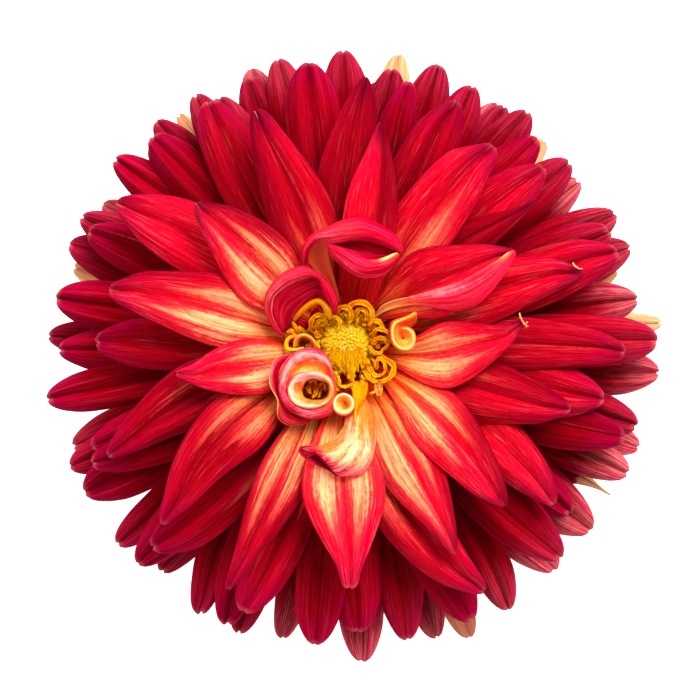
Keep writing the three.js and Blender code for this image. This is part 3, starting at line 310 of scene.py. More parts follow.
class Mat:
    """A Principled material that is built up in code."""

    def __init__(self, name):
        self.mat = bpy.data.materials.new(name)
        self.mat.use_nodes = True
        self.nt = self.mat.node_tree
        self.node_tree = self.nt
        self.bsdf = self.nt.nodes["Principled BSDF"]

    def attr(self, name):
        n = self.nt.nodes.new("ShaderNodeAttribute")
        n.attribute_name = name
        sep = self.nt.nodes.new("ShaderNodeSeparateColor")
        self.nt.links.new(n.outputs["Color"], sep.inputs[0])
        return [Val(self, sep.outputs[i]) for i in range(3)] + [Val(self, n.outputs["Alpha"])]

    def uv(self):
        n = self.nt.nodes.new("ShaderNodeUVMap")
        n.uv_map = "grain"
        sep = self.nt.nodes.new("ShaderNodeSeparateXYZ")
        self.nt.links.new(n.outputs[0], sep.inputs[0])
        return Val(self, sep.outputs[0]), Val(self, sep.outputs[1])

    def place(self):
        n = self.nt.nodes.new("ShaderNodeTexCoord")
        sep = self.nt.nodes.new("ShaderNodeSeparateXYZ")
        self.nt.links.new(n.outputs["Object"], sep.inputs[0])
        return [Val(self, sep.outputs[i]) for i in range(3)]

    def noise(self, x, y, z=0.0, scale=1.0, detail=2.0, rough=0.5):
        c = self.nt.nodes.new("ShaderNodeCombineXYZ")
        for i, o in enumerate((x, y, z)):
            if isinstance(o, Val):
                self.nt.links.new(o.s, c.inputs[i])
            else:
                c.inputs[i].default_value = float(o)
        n = self.nt.nodes.new("ShaderNodeTexNoise")
        n.inputs["Scale"].default_value = scale
        n.inputs["Detail"].default_value = detail
        n.inputs["Roughness"].default_value = rough
        self.nt.links.new(c.outputs[0], n.inputs["Vector"])
        return Val(self, n.outputs["Fac"])

    def ramp(self, x, stops):
        n = self.nt.nodes.new("ShaderNodeValToRGB")
        e = n.color_ramp.elements
        while len(e) < len(stops):
            e.new(0.5)
        for i, (p, c) in enumerate(stops):
            e[i].position = p
            e[i].color = (*rgb(*c), 1.0)
        self.nt.links.new(x.s, n.inputs[0])
        return n.outputs[0]

    def mix(self, fac, a, b):
        n = self.nt.nodes.new("ShaderNodeMix")
        n.data_type = "RGBA"
        n.clamp_factor = True
        if isinstance(fac, Val):
            self.nt.links.new(fac.s, n.inputs[0])
        else:
            n.inputs[0].default_value = fac
        for i, o in ((6, a), (7, b)):
            if isinstance(o, tuple):
                n.inputs[i].default_value = (*rgb(*o), 1.0)
            else:
                self.nt.links.new(o, n.inputs[i])
        return n.outputs[2]

    def scale_color(self, col, fac):
        n = self.nt.nodes.new("ShaderNodeVectorMath")
        n.operation = "SCALE"
        self.nt.links.new(col, n.inputs[0])
        self.nt.links.new(fac.s, n.inputs["Scale"])
        return n.outputs[0]

    def bump(self, height, distance, strength=1.0):
        n = self.nt.nodes.new("ShaderNodeBump")
        n.inputs["Distance"].default_value = distance
        n.inputs["Strength"].default_value = strength
        self.nt.links.new(height.s, n.inputs["Height"])
        self.nt.links.new(n.outputs[0], self.bsdf.inputs["Normal"])

    def set(self, **kw):
        for k, v in kw.items():
            self.bsdf.inputs[k.replace("_", " ")].default_value = v

    def color(self, col):
        self.nt.links.new(col, self.bsdf.inputs["Base Color"])

    def roughness(self, val):
        self.nt.links.new(val.s, self.bsdf.inputs["Roughness"])


def rgb(r, g, b):
    """sRGB 0..255 to linear."""
    f = lambda c: c / 12.92 if c <= 0.04045 else ((c + 0.055) / 1.055) ** 2.4
    return tuple(f(c / 255.0) for c in (r, g, b))


# ------------------------------------------------------------ petal material

def petal_material():
    """Ray petal. grain.x runs from foot to tip and grain.y across. Attribute kind holds streak strength, streak reach,
    depth of crimson (crimson pigment, with painted shade on the lower layers and on petals that point away from the
    light) and a seed;
    look holds pale, tan, the half that gets painted shade and under side; extra holds nearness of petals above (drawn
    as painted shade), darkness of the tip, strength of the painted highlight on the side ridges and of the painted
    highlight on the thread on one margin."""
    m = Mat("petal")
    s, y = m.uv()
    v = y * 2.0 - 1.0
    a = v.abs()
    streak, reach, deep, seed = m.attr("kind")
    pale, tan, side, under = m.attr("look")
    near, tipdark, crests, thread = m.attr("extra")
    off = seed * 17.0
    wob = m.noise(s * 2.2 + off, v * 1.3, off, 1.0, 2.0) - 0.5
    big = m.noise(s * 3.0 + off, v * 2.2 + off, 3.1, 1.4, 3.0) - 0.5
    vein = m.noise(s * 1.5 + off, v * 13.0 + wob * 2.0, off, 1.0, 2.0, 0.6)
    fine = m.noise(s * 3.6 + off, v * 27.0 + wob * 3.0, off, 1.0, 3.0, 0.7)
    grain = m.noise(s * 50.0 + off, v * 19.0, off, 1.0, 2.0, 0.8) - 0.5
    mott = m.noise(s * 22.0 + off, v * 12.0, off, 1.0, 3.0, 0.6) - 0.5

    band = m.noise(s * 0.8 + off, v * 3.4 + wob, off + 11.0, 1.0, 2.0, 0.5) - 0.5
    t = s + big * 0.22 + (a - 0.4) * 0.10
    body = m.ramp(t, [
        (0.00, (200, 8, 2)), (0.10, (228, 20, 6)), (0.24, (238, 16, 16)), (0.38, (246, 2, 30)),
        (0.62, (238, 0, 36)), (0.84, (214, 0, 44)), (1.00, (182, 0, 58))])
    # crimson for deep petals runs near black at the foot: crimson pigment, and painted shade where the petals above
    # cover the foot
    crimson = m.ramp(t, [
        (0.00, (28, 0, 2)), (0.35, (58, 0, 2)), (0.60, (96, 0, 2)), (0.80, (126, 0, 7)), (1.00, (132, 0, 26))])
    col = m.mix(deep, body, crimson)

    col = m.mix((band * -3.8).clip() * 0.64, col, m.mix(deep, (160, 0, 14), (74, 0, 8)))
    col = m.mix((band * 3.0).clip() * 0.48, col, m.mix(deep, (252, 20, 58), (196, 0, 40)))

    # a soft flame of orange and cream on both sides of the central fold, grained where it fades into the red
    stripe = m.noise(s * 0.9 + off, v * 6.0 + wob * 1.6, off + 4.0, 1.0, 2.5, 0.55) - 0.5
    thin = m.noise(s * 1.3 + off, v * 19.0 + wob * 2.5, off + 8.0, 1.0, 2.5, 0.65) - 0.5
    sand = m.noise(s * 42.0 + off, v * 15.0, off + 6.0, 1.0, 2.0, 0.8) - 0.5
    uneven = reach * (1.0 + (v.step(-0.1, 0.1) - 0.5) * (seed - 0.5) * 1.1)
    fade = (1.0 - s.step(uneven * 0.42, uneven * 1.10 + big * 0.35)) * s.step(0.0, 0.12)
    core = 0.40 + wob * 0.20 + stripe * 0.16
    wide = fade * 0.46 + 0.06
    flame = 1.0 - ((a - core).abs() / wide)
    halo = 1.0 - ((a - core).abs() / (wide * 1.9))
    col = m.mix((halo * 1.2 + thin * 1.6 + sand * 0.6).clip() * fade.pow(0.6) * streak * 0.70, col, m.mix(s.step(0.2, 0.5), (238, 56, 6), (246, 54, 58)))
    mask = (flame.max(-0.4) * 1.05 + thin * 1.35 + stripe * 1.6 + (vein - 0.5) * 0.9 + (fine - 0.5) * 0.8 + sand * 1.1 + mott * 0.5 - 0.16) * fade.pow(0.6) * streak * s.step(-0.02, 0.26)
    hot = s.step(0.10, 0.46)
    col = m.mix((mask * 1.9).clip() * 0.85, col, m.mix(hot, (238, 86, 6), (247, 108, 80)))
    col = m.mix(((mask - 0.26) * 1.8).clip() * 0.85, col, m.mix(hot, (244, 130, 20), (251, 160, 96)))
    col = m.mix(((mask - 0.62) * 1.6).clip() * 0.85, col, m.mix(hot, (250, 166, 50), (254, 196, 138)))

    # fine parallel veins, darker between them
    col = m.mix(((0.47 - vein) * 7.0 + (0.5 - fine) * 1.5).clip() * (1.0 - hot) * 0.60, col, (176, 4, 0))
    lines = (vein - 0.5) * 0.9 + (fine - 0.5) * 1.3
    col = m.mix(((lines * -2.4) + big * 0.5).clip() * 0.70, col, m.mix((mask * 2.2).clip(), (112, 0, 12), (204, 26, 8)))
    # painted shade in noise grooves along the petal, and a painted highlight on the raised strip beside each
    crease = m.noise(s * 0.6 + off, v * 8.0 + wob * 2.4, off + 14.0, 1.0, 1.5, 0.5)
    furrow_shade = (1.0 - (crease - 0.5).abs() * 26.0).clip() * (0.35 + big * 1.6).clip() * s.step(0.02, 0.2)
    col = m.mix(furrow_shade * 0.85, col, m.mix(deep, (178, 0, 10), (66, 0, 6)))
    swell_highlight = (1.0 - (crease - 0.58).abs() * 14.0).clip() * (0.5 - big * 1.2).clip()
    col = m.mix(swell_highlight * 0.28, col, m.mix(deep, (255, 46, 70), (200, 0, 52)))
    col = m.mix((lines * 1.8 + grain * 0.6).clip() * 0.22, col, m.mix(deep, (255, 56, 74), (202, 0, 44)))
    # scattered pale fibres, and softer feathering between them
    feather = m.noise(s * 8.0 + off, v * 13.0 + wob * 2.4, off + 20.0, 1.0, 3.0, 0.7)
    young = (1.0 - deep * 0.95).clip()
    col = m.mix((((feather - 0.50) * 5.0 + sand * 1.6).clip()) * (young * 0.26 + 0.05), col, m.mix(deep, (255, 62, 80), (200, 0, 42)))
    col = m.mix((((0.46 - feather) * 4.0 + grain * 1.2).clip()) * 0.30, col, m.mix(deep, (196, 0, 22), (90, 0, 6)))
    hair = m.noise(s * 5.0 + off, v * 24.0 + wob * 4.0, off + 2.0, 1.0, 2.0, 0.7)
    col = m.mix(((hair - 0.60) * 8.0).clip() * young * 0.46, col, (255, 144, 122))

    col = m.mix(((sand - 0.10) * 3.0).clip() * (0.20 - deep * 0.10), col, m.mix(deep, (255, 92, 92), (200, 2, 46)))
    # painted shade along the central groove, a painted highlight on the side ridges, and the margins
    groove_shade = (v + wob * 0.05).bell(0.045) * (0.25 + (1.0 - deep) * 0.30) * (0.75 + big * 2.5).clip()
    col = m.mix(groove_shade, col, m.mix(deep, (164, 0, 10), (72, 0, 8)))
    crest = (a - 0.46 + (s - 0.8) * 0.25 + wob * 0.12).bell(0.030) * s.step(0.60, 0.97) * crests
    col = m.mix(crest * (vein * 2.2 - 0.7).clip(), col, (230, 58, 100))
    rim = (a + wob * 0.03).step(0.88, 1.0)
    col = m.mix(rim * (0.30 + deep * 0.22), col, m.mix(deep, (216, 2, 58), (168, 4, 58)))
    # a raised vein that catches the light, a little off the middle
    line = (v - (seed - 0.5) * 1.1 - wob * 0.16 - (s - 0.5) * (seed - 0.5) * -0.9).bell(0.022) * s.step(0.10, 0.25) * (1.0 - s.step(0.88, 0.97)) * thread
    broken = m.noise(s * 24.0 + off, off, 2.0, 1.0, 2.0, 0.6)
    col = m.mix((line * ((broken - 0.36) * 5.0).clip()).clip() * 0.62, col, m.mix(hot, (248, 132, 60), (246, 92, 110)))
    rose = m.mix((lines * 2.2 + 0.3).clip(), (134, 0, 42), (192, 12, 72))
    col = m.mix(((s + mott * 0.10 + big * 0.2 + (a - 0.5) * 0.12).step(0.79, 1.02)) * (0.30 + deep * 0.28) * (1.0 - tipdark), col, rose)
    tip = (s + mott * 0.03).step(0.976, 1.0) * (1.0 - a * 0.6) * (1.0 - tipdark)
    col = m.mix(tip * 0.26, col, (236, 130, 140))
    col = m.mix((s + mott * 0.10 + big * 0.1).step(0.84, 1.0) * tipdark * 0.62, col, (104, 0, 34))
    horn = (v - wob * 0.3 - 0.12).bell(0.05) * s.step(0.95, 1.0) * tipdark * 0.7
    col = m.mix((horn * 1.2).clip() * 0.8, col, m.mix((lines * 2.0 + 0.5).clip(), (240, 90, 96), (255, 196, 150)))

    # painted shade: one half of a petal, picked by side, is darkened towards deep red
    half = (v * side).step(0.0, 0.35)
    col = m.mix(half * 0.75 * s.step(0.25, 0.6), col, (100, 0, 14))

    # faded kinds
    ghost = m.mix((lines * 2.2 + 0.34 + mott * 0.5).clip(), (192, 6, 66), (240, 156, 144))
    col = m.mix(pale * (s + mott * 0.16 + big * 0.24).step(0.76, 1.03), col, ghost)
    straw = m.mix((lines * 1.8 + 0.45).clip(), (206, 122, 74), (246, 200, 146))
    col = m.mix(tan, col, straw)

    # the back of a petal is duller and paler, cream towards its foot
    back = m.mix((lines * 1.2 + 0.4).clip(), (170, 26, 54), (212, 92, 98))
    back = m.mix((1.0 - s.step(0.05, 0.45)) * 0.8, back, (232, 184, 116))
    col = m.mix(under * (1.0 - tan) * 0.70, col, back)

    # painted shade: darker where other petals lie close above, with an orange cast where the flame runs on young petals
    lit = (mask * 1.6).clip() * (1.0 - deep)
    col = m.mix((near * 1.2).clip() * (1.0 - under) * (deep * 0.62 + 0.18), col, m.mix(lit * 0.6, m.mix(deep, (206, 6, 6), (66, 0, 3)), (234, 74, 4)))

    col = m.scale_color(col, 1.0 + mott * 0.28 + grain * 0.42 + big * 0.24)
    m.color(col)
    m.roughness(0.58 + (fine - 0.5) * 0.2)
    m.set(Specular_IOR_Level=0.004, Subsurface_Weight=0.15, Subsurface_Scale=0.001)
    m.bsdf.inputs["Subsurface Radius"].default_value = (1.0, 0.25, 0.12)
    m.bump(vein * 1.0 + fine * 0.7 + grain * 0.3, 0.00036, 1.0)
    return m.mat


PETAL = petal_material()
ROW = {}


# ---------------------------------------------------------------- ray petals

CELL, HALF = 0.5, 90.0
N_CELL = int(2 * HALF / CELL)
ceiling = np.full((N_CELL, N_CELL), 1e3)


def cell(x, y):
    i = clamp(np.floor((x + HALF) / CELL), 0, N_CELL - 1).astype(int)
    j = clamp(np.floor((y + HALF) / CELL), 0, N_CELL - 1).astype(int)
    return i, j


def dense(g, k):
    """A grid of points (nu, nv, c) resampled k times finer."""
    nu, nv, _ = g.shape
    a = np.linspace(0, nu - 1, (nu - 1) * k + 1)
    b = np.linspace(0, nv - 1, (nv - 1) * k + 1)
    i = np.minimum(a.astype(int), nu - 2)
    j = np.minimum(b.astype(int), nv - 2)
    fa, fb = (a - i)[:, None, None], (b - j)[None, :, None]
    p = lambda di, dj: g[i + di][:, j + dj]
    return (1 - fa) * (1 - fb) * p(0, 0) + fa * (1 - fb) * p(1, 0) + (1 - fa) * fb * p(0, 1) + fa * fb * p(1, 1)


def lower_ceiling(g, under=PETAL_T / 2):
    d = dense(g, 3)
    i, j = cell(d[..., 0], d[..., 1])
    np.minimum.at(ceiling, (i.ravel(), j.ravel()), (d[..., 2] - under).ravel())


def nearness(g):
    """Share of the sky round each point that petals close above it take up; the petal material darkens by it as painted
    shade.
    """
    total = np.zeros(g.shape[:2])
    weight = 0.0
    for radius, w in ((1.2, 1.0), (2.4, 0.8), (4.2, 0.5), (6.5, 0.3)):
        for k in range(8):
            a = (k + radius) * math.pi / 4
            i, j = cell(g[..., 0] + radius * math.cos(a), g[..., 1] + radius * math.sin(a))
            over = ceiling[i, j] - g[..., 2]
            total += w * clamp(1 - over / 14.0) * (ceiling[i, j] < 900)
            weight += w
    return total / weight


def press(g, s, v, skip_foot=0.16, reach_s=0.22, reach_v=0.9):
    """Lowers a petal where it would touch one above it, smoothly along and across, and returns the most it moved."""
    i, j = cell(g[..., 0], g[..., 1])
    c = ceiling[i, j]
    for di, dj in ((1, 0), (-1, 0), (0, 1), (0, -1)):
        c = np.minimum(c, ceiling[clamp(i + di, 0, N_CELL - 1).astype(int), clamp(j + dj, 0, N_CELL - 1).astype(int)])
    need = np.maximum(g[..., 2] + PETAL_T / 2 + GAP - c, 0.0)
    need *= smooth(skip_foot * 0.5, skip_foot, s)[:, None]
    if need.max() <= 0:
        return 0.0
    ks = np.cos(np.minimum(np.abs(s[:, None] - s[None, :]) / reach_s, 1) * math.pi / 2) ** 2
    kv = np.cos(np.minimum(np.abs(v[:, None] - v[None, :]) / reach_v, 1) * math.pi / 2) ** 2
    along = (ks[:, :, None] * need[None, :, :]).max(1)
    both = (kv[None, :, :] * along[:, None, :]).max(2)
    g[..., 2] -= both
    return float(both.max())


def width_share(s, layer, taper, end, foot=None, at=None):
    """Half-width along a petal, as a share of its widest. taper draws the last third in to a slender tip."""
    inner = float(clamp((5.5 - layer) / 2.5))
    widest = at or lerp(0.66, 0.47, inner)
    claw = foot or lerp(0.22, 0.20, inner)
    g = claw + (1 - claw) * smooth(0, 1, s / widest) ** lerp(0.72, 1.0, inner)
    b = clamp((s - widest) / (1 - widest))
    blunt = clamp(1 - b ** lerp(3.0, 2.2, inner)) ** lerp(0.60, 0.72, inner)
    slender = 0.5 + 0.5 * np.cos(math.pi * b ** 0.92)
    return g * (end + (1 - end) * lerp(blunt, slender, taper))


NU, NV = 56, 28
S = 1 - (1 - np.linspace(0, 1, NU + 1)) ** 1.3
V = np.linspace(-1, 1, NV + 1)
V = 0.6 * V + 0.4 * np.sin(V * math.pi / 2)
V = np.sign(V) * np.abs(V) ** 1.10

report = []


def petal_grid(row, opts, rng):
    node, layer, bx, by, cx, cy, tx, ty, width, kind, key = row
    dx, dy = opts.get("shift", (0.0, 0.0))
    width *= opts.get("wide", 1.0)
    B, C, T = np.array([bx, by]), np.array([cx + dx, cy + dy]), np.array([tx + dx, ty + dy])
    length = float(np.linalg.norm(T - B))
    inner = float(clamp((6.5 - layer) / 4.0))
    inside = float(clamp((5.5 - layer) / 2.5))
    w = width / 2 * width_share(S, layer, opts.get("taper", lerp(rng.uniform(0.0, 0.14), rng.uniform(0.25, 0.60), inside)), opts.get("end", lerp(rng.uniform(0.26, 0.40), rng.uniform(0.12, 0.20), inside)), opts.get("foot"), opts.get("widest"))
    v = V[None, :]
    a = np.abs(v)
    ss = S[:, None]
    R = lambda lo, hi: rng.uniform(lo, hi)
    # rows bow back towards the margins near the tip, with a small notch between the two crests
    notch = opts.get("notch", lerp(R(0.2, 0.9), R(-0.2, 0.5), inner))
    skew = R(-0.25, 0.25)
    back = w[-1] * 1.15 * (1 - np.sqrt(clamp(1 - 0.97 * v * v))) + notch * np.exp(-((v - skew) / 0.22) ** 2)
    sa = ss - back / length * smooth(0.72, 1.0, ss) ** 2
    X = (1 - sa)[..., None] ** 2 * B + (2 * sa * (1 - sa))[..., None] * C + (sa ** 2)[..., None] * T
    D = 2 * (1 - sa)[..., None] * (C - B) + 2 * sa[..., None] * (T - C)
    D /= np.linalg.norm(D, axis=2, keepdims=True)
    N = np.stack([-D[..., 1], D[..., 0]], -1)
    fold = opts.get("fold", lerp(0.03, R(0.30, 0.44), inner))
    arch = opts.get("arch", lerp(0.27, 0.22, inner)) * R(0.8, 1.2)
    hood = opts.get("hood", lerp(0.04, 0.16, inner))
    crest = opts.get("crest", (R(0.36, 0.56), R(0.36, 0.56)))
    high = opts.get("ridge", (R(0.08, 0.20) + 0.07 * (1 - inner), R(0.08, 0.20) + 0.07 * (1 - inner)))
    roll = opts.get("roll", (R(0.0, 0.30), R(0.0, 0.30)))
    # cross-section: a soft fold, a crest on each half, margins that turn down beyond the foot
    soft = np.sqrt(a * a + 0.006) - math.sqrt(0.006)
    open_up = smooth(0.05, 0.62, ss)
    left, right = (v < 0), (v >= 0)
    cpos = np.where(left, crest[0], crest[1])
    hgt = np.where(left, high[0], high[1])
    rl = np.where(left, roll[0], roll[1])
    shoulder = hgt * (np.exp(-((a - cpos) / 0.30) ** 2) - np.exp(-(cpos / 0.30) ** 2))
    section = fold * soft * lerp(1.0, lerp(0.30, 0.62, inner), open_up) + shoulder * lerp(0.5, 1.0, open_up) - arch * open_up * a ** 2.2 - rl * open_up * smooth(0.55, 1.0, a) ** 2
    groove = -(0.050 * np.exp(-(v / 0.07) ** 2) + 0.05 * np.exp(-(v / 0.22) ** 2)) * smooth(0.05, 0.3, ss) * lerp(1.7, 1.0, inner)
    lift = smooth(0.78, 1.0, ss) * hood * a ** 1.6
    shape = w[:, None] * (section + lift) + width / 2 * groove
    shape = shape - shape.mean(axis=1, keepdims=True) * 0.9
    bank = opts.get("bank", R(-0.06, 0.06)) * smooth(0.15, 0.75, ss)
    ph, am = R(0, 6.28), R(0.3, 1.0) * lerp(0.35, 0.22, inner)
    wave = am * np.sin(ss * 8.0 + ph + v * 1.3) * a ** 2 * smooth(0.15, 0.5, ss)
    edge = 0.22 * np.sin(S * 10 + ph)[:, None] * smooth(0.2, 0.5, ss) * smooth(0.5, 1.0, a)
    # the two halves differ in width along the petal, and the tip hooks a little to one side
    k = lerp(0.4, 1.0, inside)
    skewed = 1 + k * np.where(left, R(-0.10, 0.12) * np.sin(np.pi * ss) + R(-0.10, 0.10) * np.sin(2 * np.pi * ss),
                              R(-0.10, 0.12) * np.sin(np.pi * ss) + R(-0.10, 0.10) * np.sin(2 * np.pi * ss))
    hooked = opts.get("hook", R(-1.3, 1.3) * inner + R(-0.5, 0.5)) * smooth(0.80, 1.0, ss) ** 2
    pleats = lerp(0.26, 0.16, inner) * np.cos(v * 8.5 + ph) * smooth(lerp(0.62, 0.80, inner), 0.97, ss) * (1 - a ** 2)
    wv = w[:, None] * v * skewed + np.sign(v) * edge * smooth(0.0, 0.3, 1 - ss) + hooked
    g = np.zeros((NU + 1, NV + 1, 3))
    g[..., :2] = X + N * wv[..., None]
    r = np.hypot(g[..., 0] - AXIS[0], g[..., 1] - AXIS[1])
    g[..., 2] = bowl(layer, r) + shape + wave + pleats + w[:, None] * bank * v
    g[..., 2] += opts.get("tip_up", R(-1.2, 1.2)) * smooth(0.6, 1.0, ss) ** 2
    return g


def petal(row, index):
    node, layer, *_, width, kind, key = row
    opts = SPECIAL.get(key, {})
    rng = np.random.default_rng(1000 + index)
    g = petal_grid(row, opts, rng)
    moved = press(g, S, V)
    floor = PETAL_T / 2 + 0.02
    low = g[..., 2]
    g[..., 2] = np.where(low < floor + 1.0, floor + np.exp(np.minimum(low - floor - 1.0, 0.0)), low)
    near = nearness(g)
    lower_ceiling(g)
    report.append((key, layer, round(moved, 1), round(float(g[..., 2].min()), 1)))
    t = PETAL_T * lerp(1.5, 1.0, smooth(0, 0.5, S))[:, None]
    verts, quads, src, under = shell(g, t)
    si, vi = np.divmod(src, NV + 1)
    uv = np.stack([S[si], V[vi] * 0.5 + 0.5], 1)
    streak = opts.get("streak", float(clamp((6.0 - layer) / 2.6)) * rng.uniform(0.8, 1.1)) * 0.92
    reach = opts.get("reach", lerp(0.40, 0.70, float(clamp((6.0 - layer) / 3.4))) * rng.uniform(0.92, 1.08))
    # painted shade: below grows for petals that point down and to the left, away from the key light, and raises deep;
    # deep also grows with the layer, for crimson pigment and painted shade on the lower layers
    below = math.exp(-((((math.degrees(math.atan2(row[7] - row[3], row[6] - row[2])) - 248) + 180) % 360 - 180) / 50.0) ** 2)
    deep = opts.get("deep", float(clamp((layer - 3.3 + below * 1.1) / 2.7)) * rng.uniform(0.88, 1.0) if kind != "d" else 1.0)
    pale = opts.get("pale", PALE.get(key, 0.0))
    tan = {"t": 1.0, "b": 0.45}.get(kind, 0.0)
    # side picks the half of the petal that gets painted shade, from its heading against the key light: a folded petal's
    # half towards the light falls away from it; a domed one's half towards the light is the bright one
    ahead = np.array([row[6] - row[2], row[7] - row[3]])
    towards = (-ahead[1] * 0.66 + ahead[0] * 0.75) / np.linalg.norm(ahead)
    inside = float(clamp((6.0 - layer) / 3.0))
    side = opts.get("side", towards * lerp(-0.20, 0.42, inside))
    n = len(verts)
    one = np.ones(n)
    kindv = np.stack([one * streak, one * reach, one * deep, one * (opts["seed"] if rng.uniform() < 2 and "seed" in opts else rng.uniform())], 1)
    look = np.stack([one * pale, one * tan, one * side, under], 1)
    tipdark = opts.get("tipdark", float(clamp((4.8 - layer) / 1.6)) * rng.uniform(0.5, 1.0))
    crests = opts.get("crests", float(clamp((layer - 4.5) / 2.0)) * rng.uniform(0.1, 0.8))
    extra = np.stack([near[si, vi] * opts.get("shade", 1.0), one * tipdark, one * crests, one * opts.get("thread", rng.uniform(0.1, 0.6) if layer < 7 and rng.uniform() < 0.5 else 0.0)], 1)
    ob = make_object("petal_" + key.lower(), verts, quads, uv, {"kind": kindv, "look": look, "extra": extra}, PETAL)
    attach(ob, "root")
    ROW.setdefault(node, []).append(ob)
    if key == "AP":
        ap_flap(g, node)
    if key == "AR":
        dried_tip(g, node, "petal_ar_thread", [(527.6, 327, 0.0, 1.3), (525, 324.5, 0.7, 1.0), (521.8, 320, 1.0, 0.8), (520, 315.8, 1.1, 0.6), (519.4, 312.5, 0.9, 0.4)])
        dried_tip(g, node, "petal_ar_horn", [(526.5, 327.5, 0.0, 1.2), (526, 324.5, 0.9, 0.9), (527.4, 321.6, 1.4, 0.4)])
    if key == "AY":
        dried_tip(g, node, "petal_ay_thread", [(582, 269.2, 0.0, 1.2), (578.5, 268.4, 0.8, 0.8), (575, 266, 1.1, 0.7), (572.6, 262.4, 0.9, 0.4)])
    return ob


def dried_tip(g, node, name, path):
    """A dry thread curled up from a petal's tip; path gives px, py, height over the tip and half-width in pixels."""
    z = float(g[-3:, :, 2].max())
    curled(name, node, [[(x - h, y + h * 0.6, z + up), (x, y, z + up + 0.12), (x + h, y - h * 0.6, z + up)] for x, y, up, h in path],
           lambda u, v: (0.55 + 0.35 * u, 0.0, 0.55), n=(5, 3), t=0.22, block=False)


def ap_flap(g, node):
    """The lower margin of the petal right of the hook, turned up and back over its face."""
    p = g.reshape(-1, 3)

    def on(px, py, lift):
        z = 40.0
        for _ in range(3):
            x, y, _z = seen(px, py, z)
            z = float(p[np.argmin((p[:, 0] - x) ** 2 + (p[:, 1] - y) ** 2), 2])
        return (px, py, z + lift)
    rows = [[(375, 316, 1.2), (374, 318, 1.2), (373, 320, 1.0)], [(381, 306, 1.4), (382, 309, 1.3), (383, 313, 1.0)], [(394, 300, 1.8), (396, 303.5, 1.5), (398, 308, .9)],
            [(412, 296, 2.4), (416, 300.5, 2.0), (420, 305.5, .9)], [(430, 291, 3.0), (436, 299, 2.5), (441, 309.5, .8)],
            [(448, 285.5, 3.2), (455, 296, 2.7), (461, 311, .8)], [(464, 279.5, 3.2), (471, 289.5, 2.7), (479, 304.5, .8)],
            [(480, 271.5, 2.8), (487, 279, 2.4), (493, 290.5, .8)], [(495, 262, 2.3), (500, 267, 2.0), (505, 274, .8)],
            [(506, 253.5, 1.6), (509, 256.5, 1.6), (513, 260, .9)], [(513, 250, 1.1), (514.5, 251.5, 1.1), (516, 253, 1.0)]]
    # painted highlight: the light mask lays a pale strip along the turned margin
    curled("petal_ap_margin", node, [[on(*c) for c in r] for r in rows],
           lambda u, v: (0.62 * (1 - smooth(0.16, 0.40, u)) + 0.62 * bump1(u, 0.90, 0.08) * (1 - smooth(0.1, 0.6, v)) + 0.22 * bump1(v, 0.0, 0.08), 0.0,
                         0.36 * bump1(v, 0.22, 0.18) * bump1(u, 0.42, 0.16) + 0.16 * smooth(0.2, 0.4, u) * (1 - smooth(0.78, 0.95, u)) + 0.35 * bump1(v, 0.02, 0.05) * bump1(u, 0.3, 0.25)), n=(6, 8), t=0.34, block=False, material=TURNED)


# how far each petal's tip has faded to pink
PALE = {"A": 0.12, "O": 0.15, "R": 0.18, "T": 0.10, "V": 0.16, "Z": 0.12, "U": 0.9, "U2": 0.22, "B": 0.30, "F2": 0.25, "G": 0.22, "D": 0.75,
        "E": 0.12, "I": 0.10, "J2": 0.25, "AE": 0.6, "AD": 0.2, "AF": 0.06, "AI": 0.10, "b02": 0.35, "b03": 0.1, "b10": 0.08, "b14": 0.06,
        "b16": 0.10, "b12": 0.25, "b18": 0.55, "b22": 0.55, "b23": 0.08, "b24": 0.52, "b28": 0.40, "b32": 0.70, "b35": 0.58, "b37": 0.82,
        "b38": 0.95, "b39": 0.15, "b43": 0.55, "b31": 0.12, "b44": 0.1, "AT": 0.45, "AU": 0.1, "AW": 0.42, "AZ": 0.62, "AB": 0.75, "BB": 0.14}
PALE = {k: (v if v > 0.5 else v * 0.5) for k, v in PALE.items()}
